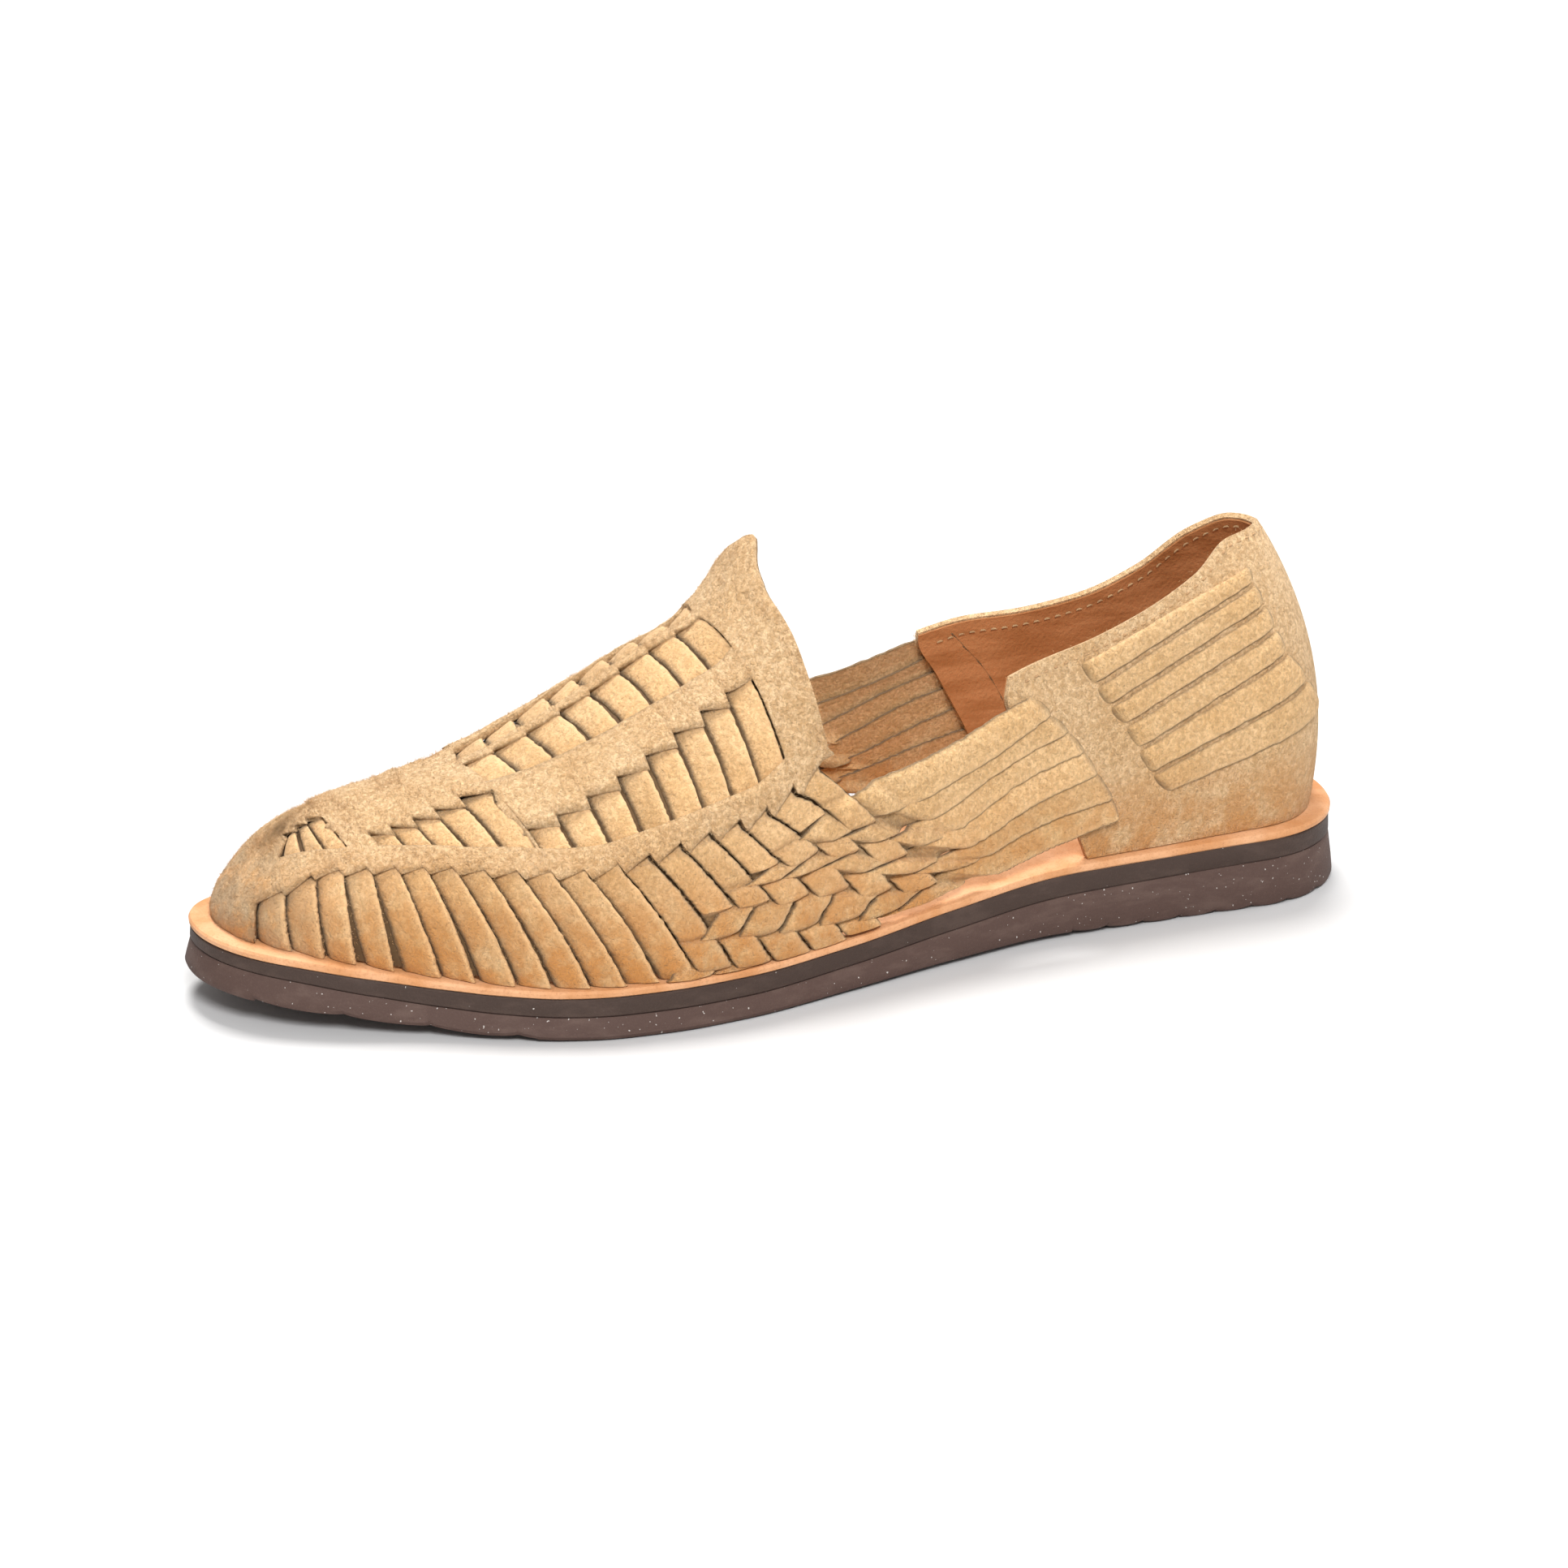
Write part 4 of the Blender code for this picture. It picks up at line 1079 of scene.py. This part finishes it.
def side_strips(rng):
    pile, nap = Pile(), Pile()
    for side in (1, -1):
        for k in range(STRIPS):
            woven = k >= WOVEN_FROM
            count = 64 if woven else 34
            start, end = strip_start(k), strip_start(k + 1)
            low = float(band_edge((start + end) / 2, "low"))
            w = np.linspace(float(foot_rise(start)), low + SAW_RISE + 0.03, count)
            down = np.clip(1 - w / low, 0, 1)
            spare = (0.06 if woven else 0.02) + abs(rng.normal(0, 0.02))
            gap = STRIP_PITCH * (spare + FOOT_GAPS.get(k, 0.0) * down + abs(rng.normal(0, 0.02)) * down)
            over_last = 0.0 if woven else STRIP_PITCH * 0.05
            line_a = np.stack([slanted(start - over_last, w), w], 1)
            line_b = np.stack([slanted(end, w) - gap, w], 1)
            if woven:
                over_a, over_b = strip_over(k, line_a[:, 0], w), strip_over(k, line_b[:, 0], w)
                over = strip_over(k, (line_a[:, 0] + line_b[:, 0]) / 2, w)
                span = STRAP_TOP - STRAP_UNDER
                lean = (over_a - over_b) * 0.25
                tuck = np.clip((w - low + 0.015) / 0.03, 0, 1)
                level = (STRAP_UNDER + span * over) * (1 - tuck) + STRAP_UNDER * tuck
                top_a, top_b = level + span * lean * 0.3, level - span * lean * 0.3
                # Painted shade where the strip dives under a strap
                painted_shade = under_shade(over) * (1 - tuck)
                crown, grime_and_shade = 0.0005, PAINTED_SHADE_BOTH
            else:
                dip = dips(count, 0.0, 0.14)
                top_b = STRIP_HIGH + rng.normal(0, 0.00015) - 0.0013 * dip
                top_a = STRIP_LOW - 0.0004 * dip
                # Painted shade at the tucked early edge and where the strip dives under the band
                crown, grime_and_shade, painted_shade = 0.0002, PAINTED_SHADE_EARLY, dip * 0.7
            piece = ribbon(pile, side, line_a, line_b, top_a, top_b, STRIP_THICK, k, crown, grime_and_shade, painted_shade)
            fibres(nap, piece[0][:-3, -3:], piece[1][:-3, -3:], 150, FIBRE_LENGTH * 0.8, rng)
            fibres(nap, piece[0][:-4, 1:-1], piece[1][:-4, 1:-1], 90, FIBRE_LENGTH * 0.5, rng)
    pile.build("side_strips", SUEDE_STRIP, "suede")
    nap.build("strip_nap", SUEDE_SHEET, "suede")


def window_strip(pile, side, k, w, gap, dip, dark, seed, tone):
    """One strip that shows between two edges of the vamp."""
    line_a = np.stack([slanted(strip_start(k) - 0.0002, w), w], 1)
    line_b = np.stack([slanted(strip_start(k + 1) - gap, w), w], 1)
    top_a, top_b = WINDOW_LOW - 0.0002 * dip, WINDOW_HIGH - 0.0012 * dip
    ribbon(pile, side, line_a, line_b, top_a, top_b, STRIP_THICK, seed, 0.0002, PAINTED_SHADE_EARLY, dark, tone)


def window_strips(rng):
    pile = Pile()
    for side in (1, -1):
        for k in range(STRIPS):
            top = window_top(k)
            if not top:
                continue
            high = float(band_edge(strip_start(k + 0.5), "high"))
            w = np.linspace(high - 0.035, top + 0.03, 26)
            gap = STRIP_PITCH * (0.10 + abs(rng.normal(0, 0.03)))
            # Painted shade where the strip goes under the leather at its top end
            dark = dips(len(w), 0.0, 0.24) * 0.8
            tone = 0.75 if k > 3 else 0.6
            window_strip(pile, side, k, w, gap, dips(len(w), 0.14, 0.26), dark, k + 40, tone)
    for k in range(CENTRE_STRIPS[0], CENTRE_STRIPS[1] + 1):
        ahead = centre_start(strip_start(k), k)
        for side in (1, -1):
            w = np.linspace(ahead - 0.03, 1.0, 20)
            gap = STRIP_PITCH * (0.09 + abs(rng.normal(0, 0.03)))
            dip = dips(len(w), 0.25, 0.0)
            # Painted shade where the strip comes out from under the leather at its lower end
            window_strip(pile, side, k, w, gap, dip, dip * 0.6, k + 80, 0.8)
    pile.build("window_strips", SUEDE_STRIP, "suede")


def long_straps(rng):
    pile, nap = Pile(), Pile()
    for side in (1, -1):
        for j in range(STRAPS):
            edges = STRAP_CURVES[j], STRAP_CURVES[j + 1]
            tight, wide = narrowed(*edges, FREE_GAP), narrowed(*edges, STRAP_GAP)
            middle = (wide[0] + wide[1]) / 2
            over = strap_over(j, middle[:, 0], middle[:, 1])
            free = np.clip((middle[:, 0] - rear_edge(middle[:, 1]) + 0.016) / 0.03, 0, 1)
            share = free[:, None]
            line_a, line_b = (a * share + b * (1 - share) for a, b in zip(tight, wide))
            level = STRAP_UNDER + (STRAP_TOP - STRAP_UNDER) * over
            tuck = np.clip((np.arange(STRAP_SAMPLES) - STRAP_SAMPLES + 4) / 3, 0, 1)
            level = level * (1 - tuck) + (COUNTER_TOP - 0.0010) * tuck
            tilt = -0.0007 * free * (1 - tuck)
            # Painted shade where the strap dives under the strips and where its end goes into the slit
            painted_shade = np.maximum(under_shade(over) * (1 - free), tuck * 0.8)
            top_a, top_b = level + tilt, level - tilt
            piece = ribbon(pile, side, line_a, line_b, top_a, top_b, STRAP_THICK, j + 120, 0.0005,
                           PAINTED_SHADE_BOTH, painted_shade, 0.65)
            fibres(nap, piece[0][:-4], piece[1][:-4], 420, FIBRE_LENGTH * 0.6, rng)
    pile.build("long_straps", SUEDE_STRAP, "suede")
    nap.build("strap_nap", SUEDE_SHEET, "suede")


def heel_straps():
    pile = Pile()
    count = 30
    for side in (1, -1):
        lines = [spline(line, count) for line in HEEL_LINES]
        for j in range(STRAPS):
            line_a, line_b = narrowed(lines[j], lines[j + 1], STRAP_GAP * 1.3)
            if side < 0:
                line_a, line_b = (lowered(line) for line in (line_a, line_b))
            dip = dips(count, 0.05, 0.06)
            top = HEEL_STRAP_TOP - 0.0016 * dip
            top_a, top_b = top + 0.0001, top - 0.0001
            # Painted shade along the strap edges and at the ends in the slits
            ribbon(pile, side, line_a, line_b, top_a, top_b, HEEL_STRAP_THICK, j + 160, 0.0003,
                   PAINTED_SHADE_HEEL, dip * 0.8, 0.62)
    pile.build("heel_straps", SUEDE_STRAP, "suede")


def lowered(line):
    """A line on the counter, lowered with the inner collar."""
    drop = smooth(COLLAR, "inner", line[:, 0]) / smooth(COLLAR, "outer", line[:, 0])
    return np.stack([line[:, 0], line[:, 1] * drop], 1)


def counter_grid(low_lift, high_lift, across=30, around=60, trim=0.0):
    tops, bottoms = [], []
    share = np.linspace(0, 1, across)
    for side, order in ((1, range(around)), (-1, range(around - 2, -1, -1))):
        for k in order:
            u = 1 - (1 - k / (around - 1)) ** 1.5
            height = float(smooth(COLLAR, "outer" if side > 0 else "inner", 0.66 + 0.34 * u))
            w = height * (1 - trim) * share
            front = smooth(COUNTER_FRONT, "row", w)
            q = np.minimum(front + (1 - front) * u, 1.0)
            tops.append(skin(side, q, w, high_lift))
            bottoms.append(skin(side, q, w, low_lift))
    return np.array(tops), np.array(bottoms)


def build_counter(rng):
    pile = Pile()
    top, bottom = counter_grid(0.0005, COUNTER_TOP)
    verts, faces = closed_sheet(top, bottom)
    count = top.shape[0] * top.shape[1]
    rim = np.zeros(top.shape[:2])
    rim[-1], rim[-2] = 1.0, 0.5
    edge = np.r_[rim.reshape(-1), rim.reshape(-1)]
    pile.add(verts, [face[::-1] for face in faces], 0.55, np.zeros(2 * count), edge)
    pile.build("heel_counter", SUEDE_SHEET, "suede")
    inner = Pile()
    top, bottom = counter_grid(0.0, 0.00045, trim=0.012)
    verts, faces = closed_sheet(top, bottom)
    inner.add(verts, [face[::-1] for face in faces])
    inner.build("counter_lining", LINING, "suede")
    nap = Pile()
    outside, within = counter_grid(COUNTER_TOP, COUNTER_TOP - 0.001)
    normal = outside - within
    normal /= np.linalg.norm(normal, axis=-1)[..., None] + 1e-9
    fibres(nap, outside, normal, COUNTER_FIBRES, FIBRE_LENGTH * 0.7, rng)
    fibres(nap, outside[-2:], normal[-2:], 1200, FIBRE_LENGTH * 0.8, rng)
    nap.build("counter_nap", SUEDE_SHEET, "suede")


def stitch_row(pile, side, line, lift):
    """Short raised stitches along a line on the last."""
    place = skin(side, line[:, 0], line[:, 1], lift)
    run = np.r_[0, np.cumsum(np.linalg.norm(np.diff(place, axis=0), axis=1))]
    normal = last_normal(side, line[:, 0], line[:, 1])
    half = STITCH_LENGTH / 2
    for at in np.arange(STITCH_PITCH, run[-1] - STITCH_PITCH, STITCH_PITCH):
        start, end = (np.array([np.interp(at + d, run, axis) for axis in place.T]) for d in (-half, half))
        up = np.array([np.interp(at, run, axis) for axis in normal.T])
        along = end - start
        along /= np.linalg.norm(along)
        across = np.cross(along, up)
        turns = np.linspace(0, 2 * math.pi, 7)[:-1]
        rings = []
        for share, radius in ((0.0, 0.4), (0.25, 1.0), (0.75, 1.0), (1.0, 0.4)):
            middle = start * (1 - share) + end * share - up * (0.0003 * (share in (0.0, 1.0)))
            size = STITCH_RADIUS * radius
            rings.append([middle + (across * math.cos(a) + up * math.sin(a)) * size for a in turns])
        verts = np.array(rings).reshape(-1, 3)
        faces = []
        for r in range(0, 18, 6):
            for c in range(6):
                d = (c + 1) % 6
                faces.append([r + c, r + d, r + 6 + d, r + 6 + c])
        faces += [[5, 4, 3, 2, 1, 0], [18, 19, 20, 21, 22, 23]]
        pile.add(verts, faces)


def collar_line(side, below, from_q=0.665, to_q=0.985):
    q = np.linspace(from_q, to_q, 90)
    return np.stack([q, smooth(COLLAR, "outer" if side > 0 else "inner", q) - below], 1)


def build_stitches():
    pile = Pile()
    for side in (1, -1):
        stitch_row(pile, side, collar_line(side, 0.028), COUNTER_TOP + 0.0001)
        stitch_row(pile, side, collar_line(side, 0.035), -0.0001)
    pile.build("stitches", THREAD, "suede")


# Floor, light and camera

def build_floor():
    mesh = bpy.data.meshes.new("floor")
    half = 3.0
    corners = [(-half, -half, 0), (half, -half, 0), (half, half, 0), (-half, half, 0)]
    mesh.from_pydata(corners, [], [(0, 1, 2, 3)])
    floor = bpy.data.objects.new("floor", mesh)
    bpy.context.scene.collection.objects.link(floor)
    look = Shader("pale_floor", (0.56, 0.56, 0.565), 0.7)
    mesh.materials.append(look.material)
    floor.location.z = -0.0001


def turn_to(made, right, up, back, place):
    rows = [(right[i], up[i], back[i], place[i]) for i in range(3)]
    made.matrix_world = Matrix(rows + [(0, 0, 0, 1)])


def area_light(name, place, target, size, power, colour=(1, 1, 1)):
    lamp = bpy.data.lights.new(name, "AREA")
    lamp.shape = "DISK"
    lamp.size = size
    lamp.energy = power
    lamp.color = colour
    made = bpy.data.objects.new(name, lamp)
    bpy.context.scene.collection.objects.link(made)
    back = np.array(place) - np.array(target)
    back = back / np.linalg.norm(back)
    right = np.cross((0, 0, 1), back)
    right = right / np.linalg.norm(right)
    turn_to(made, right, np.cross(back, right), back, place)


def build_light():
    world = bpy.data.worlds.new("studio")
    bpy.context.scene.world = world
    world.use_nodes = True
    world.node_tree.nodes["Background"].inputs["Color"].default_value = (1.0, 0.98, 0.96, 1.0)
    world.node_tree.nodes["Background"].inputs["Strength"].default_value = 0.46
    area_light("top_softbox", (-1.05, 0.05, 2.8), (0, 0, 0.05), 1.2, 106, (1.0, 0.99, 0.97))
    area_light("front_softbox", (1.6, -0.5, 1.6), (0, 0, 0.04), 0.8, 50)
    area_light("rear_softbox", (-0.2, 1.5, 1.0), (0, 0, 0.05), 0.8, 8)
    view = bpy.context.scene.view_settings
    view.view_transform = "Standard"
    view.look = "None"
    view.exposure = 0.0
    view.gamma = 1.0


CAMERA_TURN = 66.8
CAMERA_RISE = 20.9
CAMERA_ROLL = 0.54
CAMERA_REACH = 1.2
CAMERA_LENS = 110.2
CAMERA_TARGET = (0.0021, -0.001, 0.040)


def build_camera():
    turn, rise, roll = (math.radians(v) for v in (CAMERA_TURN, CAMERA_RISE, CAMERA_ROLL))
    back = np.array([math.sin(turn) * math.cos(rise), -math.cos(turn) * math.cos(rise), math.sin(rise)])
    right = np.array([math.cos(turn), math.sin(turn), 0.0])
    up = np.cross(back, right)
    right, up = right * math.cos(roll) + up * math.sin(roll), up * math.cos(roll) - right * math.sin(roll)
    place = np.array(CAMERA_TARGET) + back * CAMERA_REACH
    camera = bpy.data.cameras.new("camera")
    camera.lens = CAMERA_LENS
    camera.sensor_width = 36
    camera.clip_start = 0.01
    made = bpy.data.objects.new("camera", camera)
    bpy.context.scene.collection.objects.link(made)
    turn_to(made, right, up, back, place)
    bpy.context.scene.camera = made


build_camera()
build_floor()
build_light()
build_sole()
random = np.random.default_rng(SEED)
lining_sheet()
sheet = vamp_sheet()
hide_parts("upper")
side_strips(random)
window_strips(random)
long_straps(random)
heel_straps()
build_counter(random)
build_stitches()
